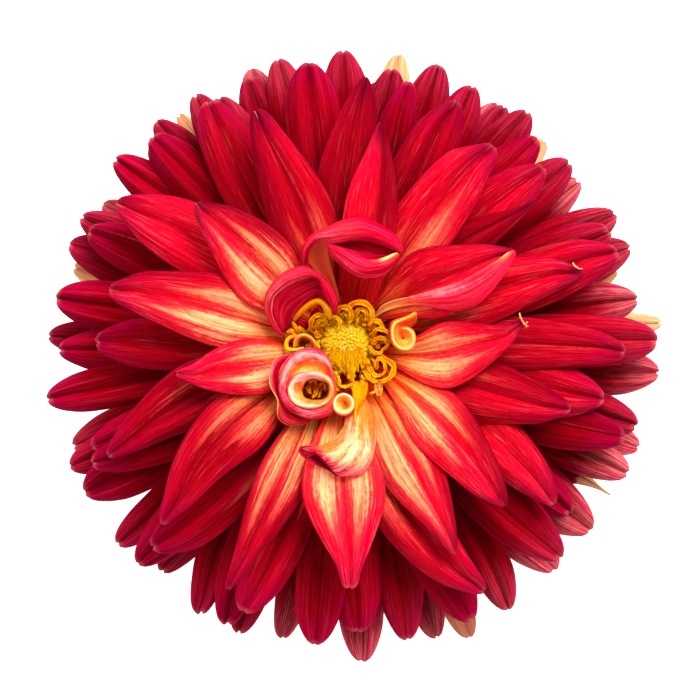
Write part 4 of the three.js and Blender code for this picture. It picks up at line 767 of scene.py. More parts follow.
# petals that differ from their neighbours
SPECIAL = {
    "N": dict(foot=0.75, shade=0.08, streak=0.0, reach=0.35, deep=0.16, fold=0.55, tipdark=0.9, taper=0.35, end=0.08, side=-1.0),
    "M": dict(streak=0.35, reach=0.50, deep=0.80, tipdark=0.9, taper=0.35, end=0.12, fold=0.16, side=-0.3),
    "L": dict(streak=0.45, reach=0.50, deep=0.62, tipdark=1.0, taper=0.30, end=0.24, side=0.4),
    "W": dict(streak=0.72, reach=0.60, deep=0.40, tipdark=0.35, taper=0.10, end=0.22, hook=-1.6),
    "S": dict(streak=0.10, deep=0.85, tipdark=0.5, taper=0.1, end=0.26),
    "AS": dict(streak=0.0, deep=0.85, tipdark=1.0, taper=0.85, end=0.07, hook=0.8),
    "AP": dict(streak=0.55, reach=0.50, deep=0.40, tipdark=0.6, taper=0.45, end=0.10),
    "AR": dict(streak=1.30, reach=0.72, seed=0.52, deep=0.10, tipdark=1.0, taper=0.75, end=0.08, hook=1.2),
    "AY": dict(streak=0.60, reach=0.45, deep=0.30, shade=0.0, tipdark=1.0, taper=0.3, end=0.14),
    "AM": dict(streak=1.60, reach=0.80, seed=0.46, deep=0.05, tipdark=1.0, taper=0.30, end=0.12),
    "AL": dict(streak=1.60, reach=0.78, seed=0.66, deep=0.05, tipdark=0.4, taper=0.15, end=0.22),
    "AO": dict(streak=1.60, reach=0.72, seed=0.56, deep=0.0, tipdark=0.2, taper=0.55, end=0.07, side=0.15),
    "BC": dict(deep=0.66, shade=0.5, streak=0.45, reach=0.40),
    "AA": dict(deep=0.45, shade=0.5, streak=0.3),
    "AC": dict(streak=0.9, reach=0.55, deep=0.35, tipdark=0.6, taper=0.2, end=0.22),
    "b07": dict(streak=0.55, reach=0.55, deep=0.90, tipdark=0.2, taper=0.35, end=0.14),
    "b08": dict(streak=0.85, reach=0.60, deep=0.75, tipdark=0.2, taper=0.35, end=0.10, fold=0.5),
    "b04": dict(wide=1.38, shift=(0.4, -1.6)),
    "b35": dict(wide=1.2, shift=(0.0, -1.0)),
    "b32": dict(wide=1.18),
    "b43": dict(wide=1.14, shift=(0.2, -1.3)),
    "b37": dict(wide=1.14, shift=(0.2, -0.7)),
    "R": dict(wide=1.14, shift=(0.5, 0.0)),
    "D": dict(wide=1.25, shift=(-0.8, -0.2)),
    "b22": dict(wide=1.14, shift=(0.6, 0.0)),
    "b41": dict(wide=1.22, shift=(0.5, 0.8)),
    "b36": dict(wide=1.25, taper=1.0, end=0.03, shift=(0.2, 0.9)),
    "H": dict(wide=0.62),
    "BA": dict(wide=0.8),
    "b17": dict(streak=1.35, reach=0.64, deep=0.82),
    "b13": dict(wide=0.86, streak=1.30, reach=0.70, deep=0.74, tipdark=0.4, taper=0.5, end=0.10),
    "b20": dict(widest=0.56, streak=1.65, reach=0.80, seed=0.49, deep=0.0, tipdark=0.1, taper=0.85, end=0.22, side=0.0, fold=0.2),
    "b27": dict(streak=0.75, reach=0.72, deep=0.55, tipdark=0.2, taper=0.35, end=0.12),
    "b29": dict(streak=1.45, reach=0.78, deep=0.05, tipdark=0.3, taper=0.55, end=0.10),
    "b30": dict(streak=1.40, reach=0.68, deep=0.10, tipdark=1.0, taper=0.2, end=0.16),
    "b33": dict(streak=0.35, reach=0.50, deep=0.30, tipdark=0.3, taper=0.3, end=0.16),
    "b31": dict(deep=1.0, streak=0.15),
    "b40": dict(deep=1.0, streak=0.10),
    "b42": dict(streak=0.65, reach=0.50, deep=0.62, tipdark=0.2, taper=0.3, end=0.18)}

# --------------------------------------------------- nets for curled petals

def spline(p, n, wrap=False):
    """Smooth curve through points p (k, ...) along the first axis, n steps a span."""
    p = np.asarray(p, float)
    k = len(p)
    t = np.linspace(0, 1, n, endpoint=False).reshape((-1,) + (1,) * (p.ndim - 1))
    out = []
    for i in range(k if wrap else k - 1):
        if wrap:
            a, b, c, d = p[(i - 1) % k], p[i % k], p[(i + 1) % k], p[(i + 2) % k]
        else:
            b, c = p[i], p[i + 1]
            a = p[i - 1] if i > 0 else 2 * b - c
            d = p[i + 2] if i + 2 < k else 2 * c - b
        out.append(0.5 * (2 * b + (c - a) * t + (2 * a - 5 * b + 4 * c - d) * t**2 + (3 * b - a - 3 * c + d) * t**3))
    out = np.concatenate(out)
    return out if wrap else np.concatenate([out, p[-1:]])


def net(rows, along, across, wrap=False):
    g = spline(np.asarray(rows, float), along, wrap)
    return np.swapaxes(spline(np.swapaxes(g, 0, 1), across), 0, 1)


def to_mm(g):
    """Grid of (picture x, picture y, height in mm) to millimetres in the frame."""
    x, y, z = seen(g[..., 0], g[..., 1], g[..., 2])
    return np.stack([x, y, z], -1)


def mid(rows):
    """Rows given in steps of 1/7.127 from picture place (240, 230)."""
    return [[(240 + x / 7.127, 230 + y / 7.127, z) for x, y, z in r] for r in rows]


def low(rows):
    """Rows given in steps of 1/14.25 from picture place (290, 380)."""
    return [[(290 + x / 14.25, 380 + y / 14.25, z) for x, y, z in r] for r in rows]


def ring_shell(grid, thickness, rim_power=8.0):
    """A closed thin shell round a grid that joins up along its first axis."""
    nu, nv, _ = grid.shape
    du = np.roll(grid, -1, 0) - np.roll(grid, 1, 0)
    dv = np.gradient(grid, axis=1)
    n = np.cross(du, dv)
    n /= np.maximum(np.linalg.norm(n, axis=2, keepdims=True), 1e-9)
    a = np.linspace(-1, 1, nv)[None, :]
    t = thickness * np.sqrt(clamp(1 - np.abs(a)**rim_power)) * np.ones((nu, 1))
    top, bot = grid + n * (t / 2)[..., None], grid - n * (t / 2)[..., None]
    idx_top = np.arange(nu * nv).reshape(nu, nv)
    inner = np.zeros((nu, nv), bool)
    inner[:, 1:-1] = True
    idx_bot = idx_top.copy()
    idx_bot[inner] = nu * nv + np.arange(inner.sum())
    verts = np.vstack([top.reshape(-1, 3), bot[inner]])
    src = np.concatenate([np.arange(nu * nv), idx_top[inner]])
    under = np.concatenate([np.zeros(nu * nv), np.ones(inner.sum())])
    q = lambda I: np.stack([I[:, :-1], np.roll(I, -1, 0)[:, :-1], np.roll(I, -1, 0)[:, 1:], I[:, 1:]], -1).reshape(-1, 4)
    return verts, np.vstack([q(idx_top), q(idx_bot)[:, ::-1]]), src, under


def curl_material(name, reds, ambers):
    """Curled petal. grain.x runs along and grain.y across; mask holds warm, dark (mostly painted shade), light (pale
    pigment and painted highlights) and under.
    """
    m = Mat(name)
    s, y = m.uv()
    warm, dark, light, under = m.attr("mask")
    px, py, pz = m.place()
    vein = m.noise(s * 2.0, y * 11.0, 2.0, 1.0, 2.0, 0.6)
    fine = m.noise(s * 5.0, y * 34.0, 5.0, 1.0, 3.0, 0.7)
    mott = m.noise(px * 900.0, py * 900.0, pz * 900.0, 1.0, 3.0, 0.6) - 0.5
    lines = (vein - 0.5) * 1.1 + (fine - 0.5) * 1.2
    col = m.ramp(lines + 0.5, [(0.22, reds[0]), (0.5, reds[1]), (0.8, reds[2])])
    w = warm + (lines * 0.5 + mott * 0.3) * (warm * 5.0).clip()
    col = m.mix((w * 2.2).clip(), col, ambers[0])
    col = m.mix(((w - 0.40) * 2.4).clip(), col, ambers[1])
    col = m.mix(((w - 0.80) * 3.5).clip(), col, ambers[2])
    # light mask: pale pigment, and on some pieces a painted highlight
    pale = light + (lines * 1.1 + mott * 0.5) * (light * 4.0).clip()
    col = m.mix((pale * 2.0).clip() * (1.0 - warm * 1.1).clip(), col, (242, 52, 84))
    col = m.mix(((pale - 0.30) * 1.7).clip(), col, m.mix(warm, (246, 166, 156), (253, 214, 144)))
    # dark mask: painted shade, towards near-black red
    col = m.mix((dark - lines * 0.3 * (dark * 4.0).clip()).clip(), col, (84, 0, 6))
    col = m.scale_color(col, 1.0 + mott * 0.25)
    m.color(col)
    m.roughness(0.5 + (fine - 0.5) * 0.2)
    m.set(Specular_IOR_Level=0.012, Subsurface_Weight=0.2, Subsurface_Scale=0.0012)
    m.bsdf.inputs["Subsurface Radius"].default_value = (1.0, 0.3, 0.12)
    m.bump(vein * 0.9 + fine * 0.6, 0.00026, 1.0)
    return m.mat


CURL = curl_material("curled_petal", [(158, 0, 30), (208, 0, 40), (240, 40, 80)], [(238, 84, 34), (246, 150, 40), (255, 208, 110)])
AMBER = curl_material("amber_floret", [(180, 56, 0), (224, 108, 0), (244, 148, 4)], [(236, 128, 0), (248, 164, 4), (255, 196, 26)])


# painted light: the strap's salmon colour, lightened well past the other curled petals to make up for the shade of the
# hook above it
LIT_STRAP = curl_material("strap_petal", [(255, 50, 36), (255, 90, 58), (255, 162, 114)], [(255, 112, 58), (255, 156, 88), (255, 200, 138)])
TURNED = curl_material("turned_margin", [(216, 0, 34), (244, 14, 50), (255, 64, 82)], [(246, 108, 58), (252, 182, 98), (255, 226, 162)])


def curled(name, node, rows, look, n=(8, 8), t=0.42, wrap=False, material=None, block=True, grain=(1.0, 1.0)):
    """A curled petal over a net of rows; look(u, v) gives warm, dark and light."""
    g = to_mm(net(rows, n[0], n[1], wrap))
    nu, nv, _ = g.shape
    if block:
        lower_ceiling(g, 0.5)
    verts, quads, src, under = ring_shell(g, t) if wrap else shell(g, t)
    i, j = np.divmod(src, nv)
    u, v = i / (nu - 1 if not wrap else nu), j / (nv - 1)
    warm, dark, light = [np.broadcast_to(np.asarray(c, float), u.shape) for c in look(u, v)]
    uv = np.stack([u * grain[0], v * grain[1]], 1)
    ob = make_object(name, verts, quads, uv, {"mask": clamp(np.stack([warm, dark, light, under], 1))}, material or CURL)
    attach(ob, "root")
    CENTRE.setdefault(node, []).append(ob)
    return ob


CENTRE = {}
bump1 = lambda x, c, w: np.exp(-((x - c) / w) ** 2)

# -- hooked petal above the disc: face of the strap, the band that rolls over, the lobe that comes back
curled("hook_strap", "hooked_petal_top", [
    [(337.5, 303, 27), (339, 303, 26.6), (340.5, 303, 27)],
    [(330, 291, 29.5), (334, 291, 28.6), (338, 291, 29.6)],
    [(320, 276, 32.6), (327, 276, 31.6), (334.2, 276, 33.2)],
    [(309, 264, 35.4), (320, 264, 34.0), (330.4, 264, 36.4)],
    [(306.5, 253, 38.0), (318, 253, 36.6), (328.8, 254, 38.6)],
    [(309, 246, 40.2), (319, 246, 39.0), (328, 247, 40.4)],
    [(316, 239, 42.0), (322, 240, 41.4), (327.4, 242, 42.4)],
    [(326, 234, 43.2), (329, 236, 43.0), (331, 240, 43.4)]],
    lambda u, v: (0.40 * smooth(0.15, 0.5, u) * (0.6 + 0.4 * v), 0.0,
                  0.22 * bump1(u, 0.65, 0.3) * bump1(v, 0.6, 0.4)), material=LIT_STRAP)
curled("hook_band", "hooked_petal_top", [
    [(311, 276, 32.0), (314, 276, 33.0), (318, 277, 32.2)],
    [(301.8, 266, 35.5), (305, 266, 37.2), (309.5, 266, 36.0)],
    [(300.3, 257, 38.5), (304.4, 257, 40.4), (309.0, 257, 39.0)],
    [(302, 247, 41), (306, 248.5, 42.8), (310.8, 250, 41.5)],
    [(308.5, 237, 43), (313, 240, 45.0), (316.5, 243.5, 43.4)],
    [(317, 231, 44.3), (320, 236, 46.4), (322.5, 241.5, 44.8)],
    [(328, 226, 45.0), (329.5, 234, 47.4), (331, 243.6, 45.4)],
    [(341, 220, 45.3), (341.5, 231, 48.0), (342.5, 243, 45.6)],
    [(352, 216.5, 45.3), (352.5, 230, 48.2), (353, 241.4, 45.6)],
    [(362, 216, 45.0), (362, 229, 48.2), (362, 241.4, 45.6)],
    [(372, 219.5, 44.6), (370.5, 231, 47.8), (370, 242.6, 45.4)],
    [(382, 225, 44.2), (380, 234.5, 47.2), (379, 245, 45.2)],
    [(392, 231.5, 43.6), (389, 239.5, 46.4), (386.5, 248, 44.8)],
    [(399.5, 239, 43.2), (396, 245, 45.6), (393, 250.5, 44.4)],
    [(402.8, 248, 42.6), (400, 250.8, 44.3), (397, 252.6, 43.6)],
    [(401.5, 255, 42), (400.2, 256, 42.6), (399, 256, 42.4)]],
    lambda u, v: (0.10 * bump1(v, 0.5, 0.3) * bump1(u, 0.42, 0.15), 0.42 * smooth(0.55, 0.95, u) * smooth(0.3, 0.9, v) + 0.30 * smooth(0.86, 1.0, v) + 0.2 * bump1(v, 0.05, 0.12) * u,
                  0.28 * bump1(v, 0.55, 0.25) * bump1(u, 0.38, 0.10) + 0.7 * bump1(v, 1.0, 0.06) * bump1(u, 0.40, 0.05) + 0.18 * bump1(v, 0.45, 0.08) * bump1(u, 0.2, 0.15)),
    n=(6, 9))
# painted shade: the inside of the hook is darkened all over, most where it passes under the band
curled("hook_inside", "hooked_petal_top", [
    [(329, 244, 44.2), (330, 245, 44.0), (331, 247, 44.0)],
    [(336, 241, 44.0), (338, 245, 42.4), (340, 249, 44.2)],
    [(347, 239, 44.2), (348, 246, 41.8), (349, 252, 44.4)],
    [(358, 238.6, 44.2), (359, 248, 41.4), (359, 257, 44.4)],
    [(370, 240, 44.0), (370, 251, 41.2), (369, 261, 44.4)],
    [(381, 243, 43.8), (380, 253, 41.2), (379, 261.5, 44.2)],
    [(391, 247, 43.4), (389, 254, 41.4), (386, 261, 43.8)],
    [(397, 251, 43.0), (395, 255, 41.8), (393, 260, 43.2)]],
    lambda u, v: (0.0, 0.42 + 0.40 * (1 - smooth(0.05, 0.35, v)) + 0.2 * smooth(0.85, 1.0, v), 0.0), n=(6, 6))
# painted shade darkens the lobe's far end where it tucks under the band
curled("hook_lobe", "hooked_petal_top", [
    [(398.6, 252.0, 43.0), (399.4, 254.0, 43.2), (399.4, 256.0, 42.6), (398, 258, 42.0)],
    [(393.0, 253.4, 44.6), (395.0, 256.5, 45.0), (394.6, 261, 44.6), (391.5, 268, 42.4)],
    [(384.0, 257.2, 45.4), (386.0, 262.0, 46.2), (386.0, 268, 45.6), (384.5, 275, 42.6)],
    [(376.0, 259.2, 45.7), (376.5, 264.5, 46.9), (375.5, 271, 46.2), (373.0, 278.2, 42.8)],
    [(368.0, 258.8, 45.8), (366.5, 264.5, 47.0), (364.0, 271, 46.4), (360.5, 277.8, 43.0)],
    [(359.0, 255.3, 45.7), (356.5, 260.5, 46.9), (353.0, 266.5, 46.2), (349.0, 272.5, 43.0)],
    [(350.0, 249.8, 45.6), (346.8, 254.0, 46.5), (343.0, 259.0, 45.8), (339.0, 264.5, 43.0)],
    [(341.0, 246.6, 45.4), (338.2, 248.8, 46.0), (334.5, 252.5, 45.4), (331.0, 256.0, 43.4)],
    [(333.5, 245.2, 45.0), (332.0, 246.0, 45.3), (330.0, 247.6, 45.0), (328.4, 249.4, 43.8)],
    [(328.4, 243.6, 44.8), (328.0, 243.8, 44.9), (327.5, 244.1, 44.8), (327.0, 244.6, 44.4)]],
    lambda u, v: (1.0 * bump1(v, 0.05, 0.22) * (1 - smooth(0.18, 0.34, u)) + 0.40 * bump1(v, 0.1, 0.12) * (1 - smooth(0.3, 0.45, u)), 0.16 * bump1(v, 0.45, 0.12) * bump1(u, 0.35, 0.2) + 0.7 * smooth(0.965, 1.0, u),
                  0.62 * bump1(v, 0.14, 0.16) * bump1(u, 0.18, 0.13) + 0.35 * bump1(v, 0.72, 0.12) * bump1(u, 0.62, 0.16) + 0.22 * bump1(v, 0.95, 0.08) + 0.15 * bump1(v, 0.3, 0.2) * bump1(u, 0.5, 0.25)),
    n=(8, 8))

# -- hooded petal on the left of the disc: rolled margin, deep face, yellow lip
curled("hood_margin", "hooded_petal_left", mid([
    [(338, 790, 28.5), (330, 780, 29), (322, 770, 28.5)],
    [(300, 760, 31.5), (300, 745, 32.0), (300, 732, 31.5)],
    [(235, 700, 34.5), (245, 690, 35.6), (262, 680, 34.8)],
    [(190, 620, 37.5), (207, 612, 39.0), (236, 612, 37.6)],
    [(172, 545, 39.2), (196, 545, 41.4), (232, 560, 39.4)],
    [(185, 450, 41), (215, 462, 43.6), (245, 485, 41.4)],
    [(235, 370, 42), (268, 398, 44.8), (296, 432, 42.6)],
    [(310, 300, 42.6), (340, 345, 45.4), (365, 390, 43.4)],
    [(390, 265, 43), (420, 315, 45.8), (445, 355, 44.0)],
    [(470, 255, 43.4), (492, 302, 45.8), (512, 338, 44.4)],
    [(545, 300, 43.4), (556, 332, 45.4), (562, 352, 44.4)],
    [(610, 350, 43.2), (600, 388, 45.0), (578, 405, 43.6)],
    [(655, 410, 42.4), (635, 445, 44.4), (594, 458, 42.2)],
    [(690, 485, 41.2), (665, 508, 43.0), (622, 502, 41.2)],
    [(697, 550, 39.6), (680, 558, 40.8), (652, 560, 40)],
    [(683, 605, 38), (668, 604, 38.6), (655, 602, 38.4)]]),
    lambda u, v: (0.10 * bump1(u, 0.35, 0.2), 0.10 + 0.18 * bump1(v, 0.0, 0.2) - 0.20 * smooth(0.66, 0.85, u), 0.24 * bump1(v, 0.5, 0.3) * bump1(u, 0.32, 0.16) + 0.36 * bump1(v, 0.92, 0.12) * (1 - smooth(0.6, 0.75, u)) + 0.16 * bump1(v, 0.55, 0.22) * bump1(u, 0.42, 0.16) + 0.14 * bump1(v, 0.15, 0.2) * bump1(u, 0.5, 0.2)),
    n=(6, 9))
# painted shade: the face darkens towards the florets, with a darker patch near its far end
curled("hood_face", "hooded_petal_left", mid([
    [(300, 730, 31.5), (325, 725, 30.5), (350, 730, 29.5)],
    [(262, 680, 34.6), (310, 690, 32.6), (360, 700, 30.6)],
    [(236, 612, 37.4), (300, 640, 34.6), (375, 655, 32.0)],
    [(232, 560, 39.2), (310, 585, 35.8), (410, 620, 33.0)],
    [(245, 485, 41.2), (335, 530, 37.0), (440, 585, 34.0)],
    [(296, 432, 42.4), (390, 480, 38.0), (480, 545, 35.2)],
    [(365, 390, 43.2), (450, 440, 38.8), (520, 515, 36.4)],
    [(445, 355, 43.8), (510, 410, 39.6), (550, 495, 37.2)],
    [(512, 338, 44.2), (550, 395, 40.6), (578, 490, 37.6)],
    [(562, 352, 44.2), (585, 410, 41.4), (606, 500, 38.0)],
    [(594, 400, 43.6), (615, 440, 41.8), (640, 520, 38.6)],
    [(622, 440, 42.6), (645, 490, 41.2), (660, 550, 39.0)]]),
    lambda u, v: (0.0, 0.24 + 0.50 * bump1(u, 0.78, 0.10) * bump1(v, 0.42, 0.32) + 0.30 * smooth(0.5, 1.0, v) * (1 - smooth(0.3, 0.8, u)) - 0.1 * smooth(0.85, 1, u), 0.05),
    n=(6, 8))
curled("hood_lip", "hooded_petal_left", mid([
    [(372, 640, 33.5), (380, 648, 34.2), (388, 655, 33.6)],
    [(402, 595, 35.6), (414, 605, 36.6), (424, 618, 35.6)],
    [(440, 552, 37.2), (452, 565, 38.2), (460, 582, 37.0)],
    [(505, 503, 38.8), (512, 520, 39.9), (520, 540, 38.4)],
    [(565, 487, 39.6), (564, 510, 40.8), (560, 528, 39.2)],
    [(618, 515, 39.4), (602, 535, 40.6), (585, 552, 38.8)],
    [(655, 560, 38.6), (630, 570, 39.6), (600, 588, 37.8)],
    [(672, 595, 37.4), (650, 602, 38.0), (622, 615, 36.8)],
    [(648, 636, 36.0), (643, 638, 36.2), (636, 640, 35.8)]]),
    lambda u, v: (0.55 + 0.5 * smooth(0.45, 0.9, u), 0.0, 0.25 * bump1(u, 0.72, 0.2) * bump1(v, 0.4, 0.3)), n=(6, 6), t=0.36, material=AMBER)
curled("hood_inner_curl", "hooded_petal_left", mid([
    [(395, 660, 31.5), (400, 640, 32.5), (420, 625, 33.5)],
    [(415, 680, 31.5), (430, 655, 33.0), (455, 640, 33.6)],
    [(450, 700, 31.5), (470, 670, 32.0), (490, 640, 33.0)],
    [(500, 700, 31.0), (505, 640, 31.6), (510, 590, 34.0)],
    [(530, 680, 31.0), (535, 620, 32.4), (535, 560, 35.6)],
    [(560, 660, 31.5), (565, 600, 33.6), (560, 545, 36.4)]]),
    lambda u, v: (0.0, 0.15 + 0.55 * bump1(u, 0.55, 0.22) + 0.25 * smooth(0.75, 1.0, u), 0.05), n=(6, 6), t=0.3)

# -- scrolled petal: rim of the opening, lip, valley, pink band, then the loose outer flap
SCROLL = [  # angle, edge of the hole, crest, lip, valley, band, out, z lip, z valley, z band
    (0, 131, 141, 147, 154, 162, 170, 42.6, 41.8, 41.2), (22, 130, 141, 148, 158, 168, 178, 43.0, 41.8, 41.6),
    (40, 106, 124, 144, 162, 182, 194, 43.6, 41.4, 42.6), (60, 92, 106, 126, 160, 226, 250, 44.0, 41.8, 44.6),
    (80, 87, 100, 118, 164, 250, 294, 44.2, 41.6, 45.4), (100, 84, 97, 116, 164, 254, 298, 44.2, 41.6, 45.4),
    (120, 81, 102, 124, 170, 246, 288, 43.8, 41.4, 44.8), (140, 76, 118, 146, 180, 232, 264, 43.4, 41.2, 44.4),
    (160, 74, 142, 158, 182, 213, 240, 43.0, 41.6, 44.0), (180, 76, 153, 163, 184, 210, 232, 42.8, 41.6, 43.6),
    (200, 79, 150, 160, 178, 200, 222, 42.6, 41.6, 43.0), (220, 82, 140, 150, 166, 186, 213, 42.4, 41.4, 42.4),
    (240, 80, 126, 135, 150, 172, 202, 42.2, 41.2, 41.9), (260, 78, 118, 126, 140, 168, 205, 42.0, 41.0, 41.6),
    (280, 81, 117, 125, 138, 170, 208, 42.0, 41.0, 41.5), (300, 90, 121, 129, 143, 175, 212, 42.0, 41.0, 41.4),
    (320, 112, 131, 138, 152, 182, 222, 42.2, 41.2, 41.2), (340, 128, 139, 145, 154, 166, 184, 42.4, 41.6, 41.2)]


def scroll_row(row):
    angle, edge, crest, lip, valley, band, out, zl, zv, zb = row
    a = math.radians(angle)
    upper = float(smooth(30, 60, angle) * (1 - smooth(140, 175, angle)))
    at = lambda r, z: (510 + r * math.cos(a), 1140 - r * math.sin(a), z)
    return [at(edge * 0.80, 32.5), at(edge * 0.93, 35.4), at(edge, 37.6 + upper * 3.4), at(edge + (crest - edge) * 0.5, 40.8 + upper * 1.6), at(crest, 43.1),
            at(lip, zl), at((lip + valley) / 2, (zl + zv) / 2 - 0.2), at(valley, zv), at((valley + band) / 2, (zv + zb) / 2 + 0.35), at(band, zb),
            at((band + out) / 2 + 3, zb - 0.9), at(out, zb - 3.0), at(out - 22, zb - 7.5)]


# dark is painted shade inside the opening, under the turned-down outer edge and in the fold between valley and band
def scroll_look(u, v):
    angle = u * 360
    upper = smooth(25, 60, angle) * (1 - smooth(130, 170, angle))
    k = v * 12
    right = np.clip(np.cos(np.radians(angle - 352)), 0, 1) ** 1.5

    def pick(up, down, side):
        rows = [np.interp(k, range(13), row) for row in (up, down, side)]
        return (upper * rows[0] + (1 - upper) * rows[1]) * (1 - right) + right * rows[2]
    return (pick([.5, .7, .7, .3, .1, .05, .90, 1.0, .55, .10, 0, 0, 0], [.5, .84, .86, .76, .55, .2, .05, .0, .0, .0, 0, 0, 0],
                 [.5, .8, .92, .90, .74, .68, .62, .55, .5, .4, .3, .2, 0]),
            pick([.70, .30, .0, .0, .0, .0, .0, .0, .12, .0, 0, .05, .5], [.60, .12, .0, .0, .0, .0, .05, .0, .0, .0, 0.05, .15, .6],
                 [.85, .70, .55, .30, .0, .0, .10, .10, .0, .0, 0.05, .15, .6]),
            pick([0, 0, .3, .70, .85, .75, .15, .06, .30, .66, .40, .10, 0], [0, 0.0, .04, .34, .84, .60, .20, .30, .40, .36, .34, .10, 0],
                 [0, 0, 0, 0, .50, .60, .10, .10, .10, .10, .10, .10, 0]))


curled("scroll_roll", "scrolled_petal", mid([scroll_row(r) for r in SCROLL]), scroll_look, n=(7, 4), t=0.45, wrap=True, grain=(3.0, 1.0))
curled("scroll_flap", "scrolled_petal", mid([
    [(355, 885, 36), (362, 892, 37), (372, 902, 37)],
    [(295, 895, 38.4), (303, 915, 39.4), (322, 935, 38)],
    [(245, 925, 40.0), (258, 950, 40.6), (292, 980, 38)],
    [(218, 985, 41.0), (236, 1002, 41.2), (274, 1022, 38)],
    [(207, 1050, 41.4), (230, 1060, 41.2), (272, 1072, 37.5)],
    [(215, 1115, 41.4), (240, 1120, 40.8), (280, 1130, 37)],
    [(245, 1170, 41.0), (266, 1175, 40.2), (302, 1180, 36.8)],
    [(268, 1225, 40.4), (292, 1225, 39.4), (330, 1230, 36.5)],
    [(262, 1285, 39.6), (302, 1275, 39.2), (360, 1270, 36)],
    [(275, 1345, 38.4), (322, 1325, 38.8), (400, 1300, 35.5)],
    [(320, 1385, 37.4), (370, 1355, 38.0), (440, 1320, 35)],
    [(395, 1397, 36.4), (430, 1370, 36.8), (490, 1335, 34.5)],
    [(460, 1385, 35.2), (485, 1365, 35.2), (530, 1345, 34)],
    [(515, 1350, 34), (518, 1348, 34), (524, 1346, 33.6)]]),
    lambda u, v: (0.60 * bump1(v, 0.05, 0.22) * (1 - smooth(0.5, 0.7, u)) + 0.75 * bump1(v, 0.0, 0.08) + 0.10 * smooth(0.4, 0.7, u), 0.16 * smooth(0.55, 0.8, u) + 0.22 * smooth(0.75, 1.0, v),
                  0.75 * bump1(v, 0.0, 0.07) + 0.50 * bump1(u, 0.28, 0.24) * bump1(v, 0.22, 0.22) + 0.16 * bump1(v, 0.4, 0.25) * smooth(0.5, 0.8, u)), n=(6, 8), t=0.36)
# painted shade: the foot, low under the florets and the scroll, is darkened all over
curled("scroll_foot", "scrolled_petal", mid([
    [(600, 950, 26.5), (625, 960, 26.5), (650, 975, 26.5)],
    [(540, 1020, 28.5), (590, 1030, 27.8), (640, 1050, 28.5)],
    [(470, 1100, 31.5), (540, 1120, 30.2), (620, 1140, 31.5)],
    [(420, 1160, 35), (510, 1190, 33), (610, 1200, 35)]]), lambda u, v: (0.5, 0.45, 0.0), n=(5, 5), block=False)

# threads inside the opening, darkened towards their feet with painted shade
for k, (x0, y0, x1, y1) in enumerate([(452, 1095, 505, 1168), (478, 1085, 500, 1150), (520, 1085, 540, 1190), (560, 1075, 545, 1180), (590, 1100, 560, 1195), (535, 1130, 520, 1200)]):
    curled("scroll_thread_%d" % k, "scrolled_petal", mid([
        [(x0 - 9, y0, 31.5), (x0, y0, 32.6), (x0 + 9, y0, 31.5)],
        [((x0 + x1) / 2 - 10, (y0 + y1) / 2, 35.0), ((x0 + x1) / 2, (y0 + y1) / 2, 36.2), ((x0 + x1) / 2 + 10, (y0 + y1) / 2, 35.0)],
        [(x1 - 9, y1, 36.5), (x1, y1, 37.6), (x1 + 9, y1, 36.5)]]),
        lambda u, v: (0.55 + 0.3 * u, 0.35 * (1 - u), 0.0), n=(5, 4), t=0.3, material=AMBER, block=False)

# -- small tube below the disc
tube_rows = []
for angle in range(0, 360, 30):
    ca, sa = math.cos(math.radians(angle)), math.sin(math.radians(angle))
    at = lambda cx, cy, r, z, q=1.0: (cx + r * ca, cy - r * sa * q, z)
    tube_rows.append([at(746, 1232, 2, 37.8), at(744, 1232, 32, 38.6), at(739, 1234, 53, 40.6), at(738, 1237, 61, 41.8), at(738, 1238, 67, 42.2),
                      at(738, 1240, 72, 41.6), at(738, 1247, 73, 39.8), at(739, 1250, 66, 37.0), at(740, 1225, 52, 32.5), at(742, 1180, 34, 28)])
# painted shade: the outer wall darkens where it goes down among the florets
curled("tube_wall", "small_tube_petal", mid(tube_rows), lambda u, v: (
    np.interp(v * 9, range(10), [.82, .95, 1.0, 1.0, .8, .5, .4, .45, .4, .4]) - 0.45 * bump1(u, 0.86, 0.12) * bump1(v, 0.12, 0.14), np.interp(v * 9, range(10), [.02, .0, 0, 0, 0, 0, 0, .1, .4, .6]),
    np.interp(v * 9, range(10), [0, .0, .10, .42, .9, .65, .2, .05, 0, 0])), n=(5, 4), t=0.4, wrap=True)

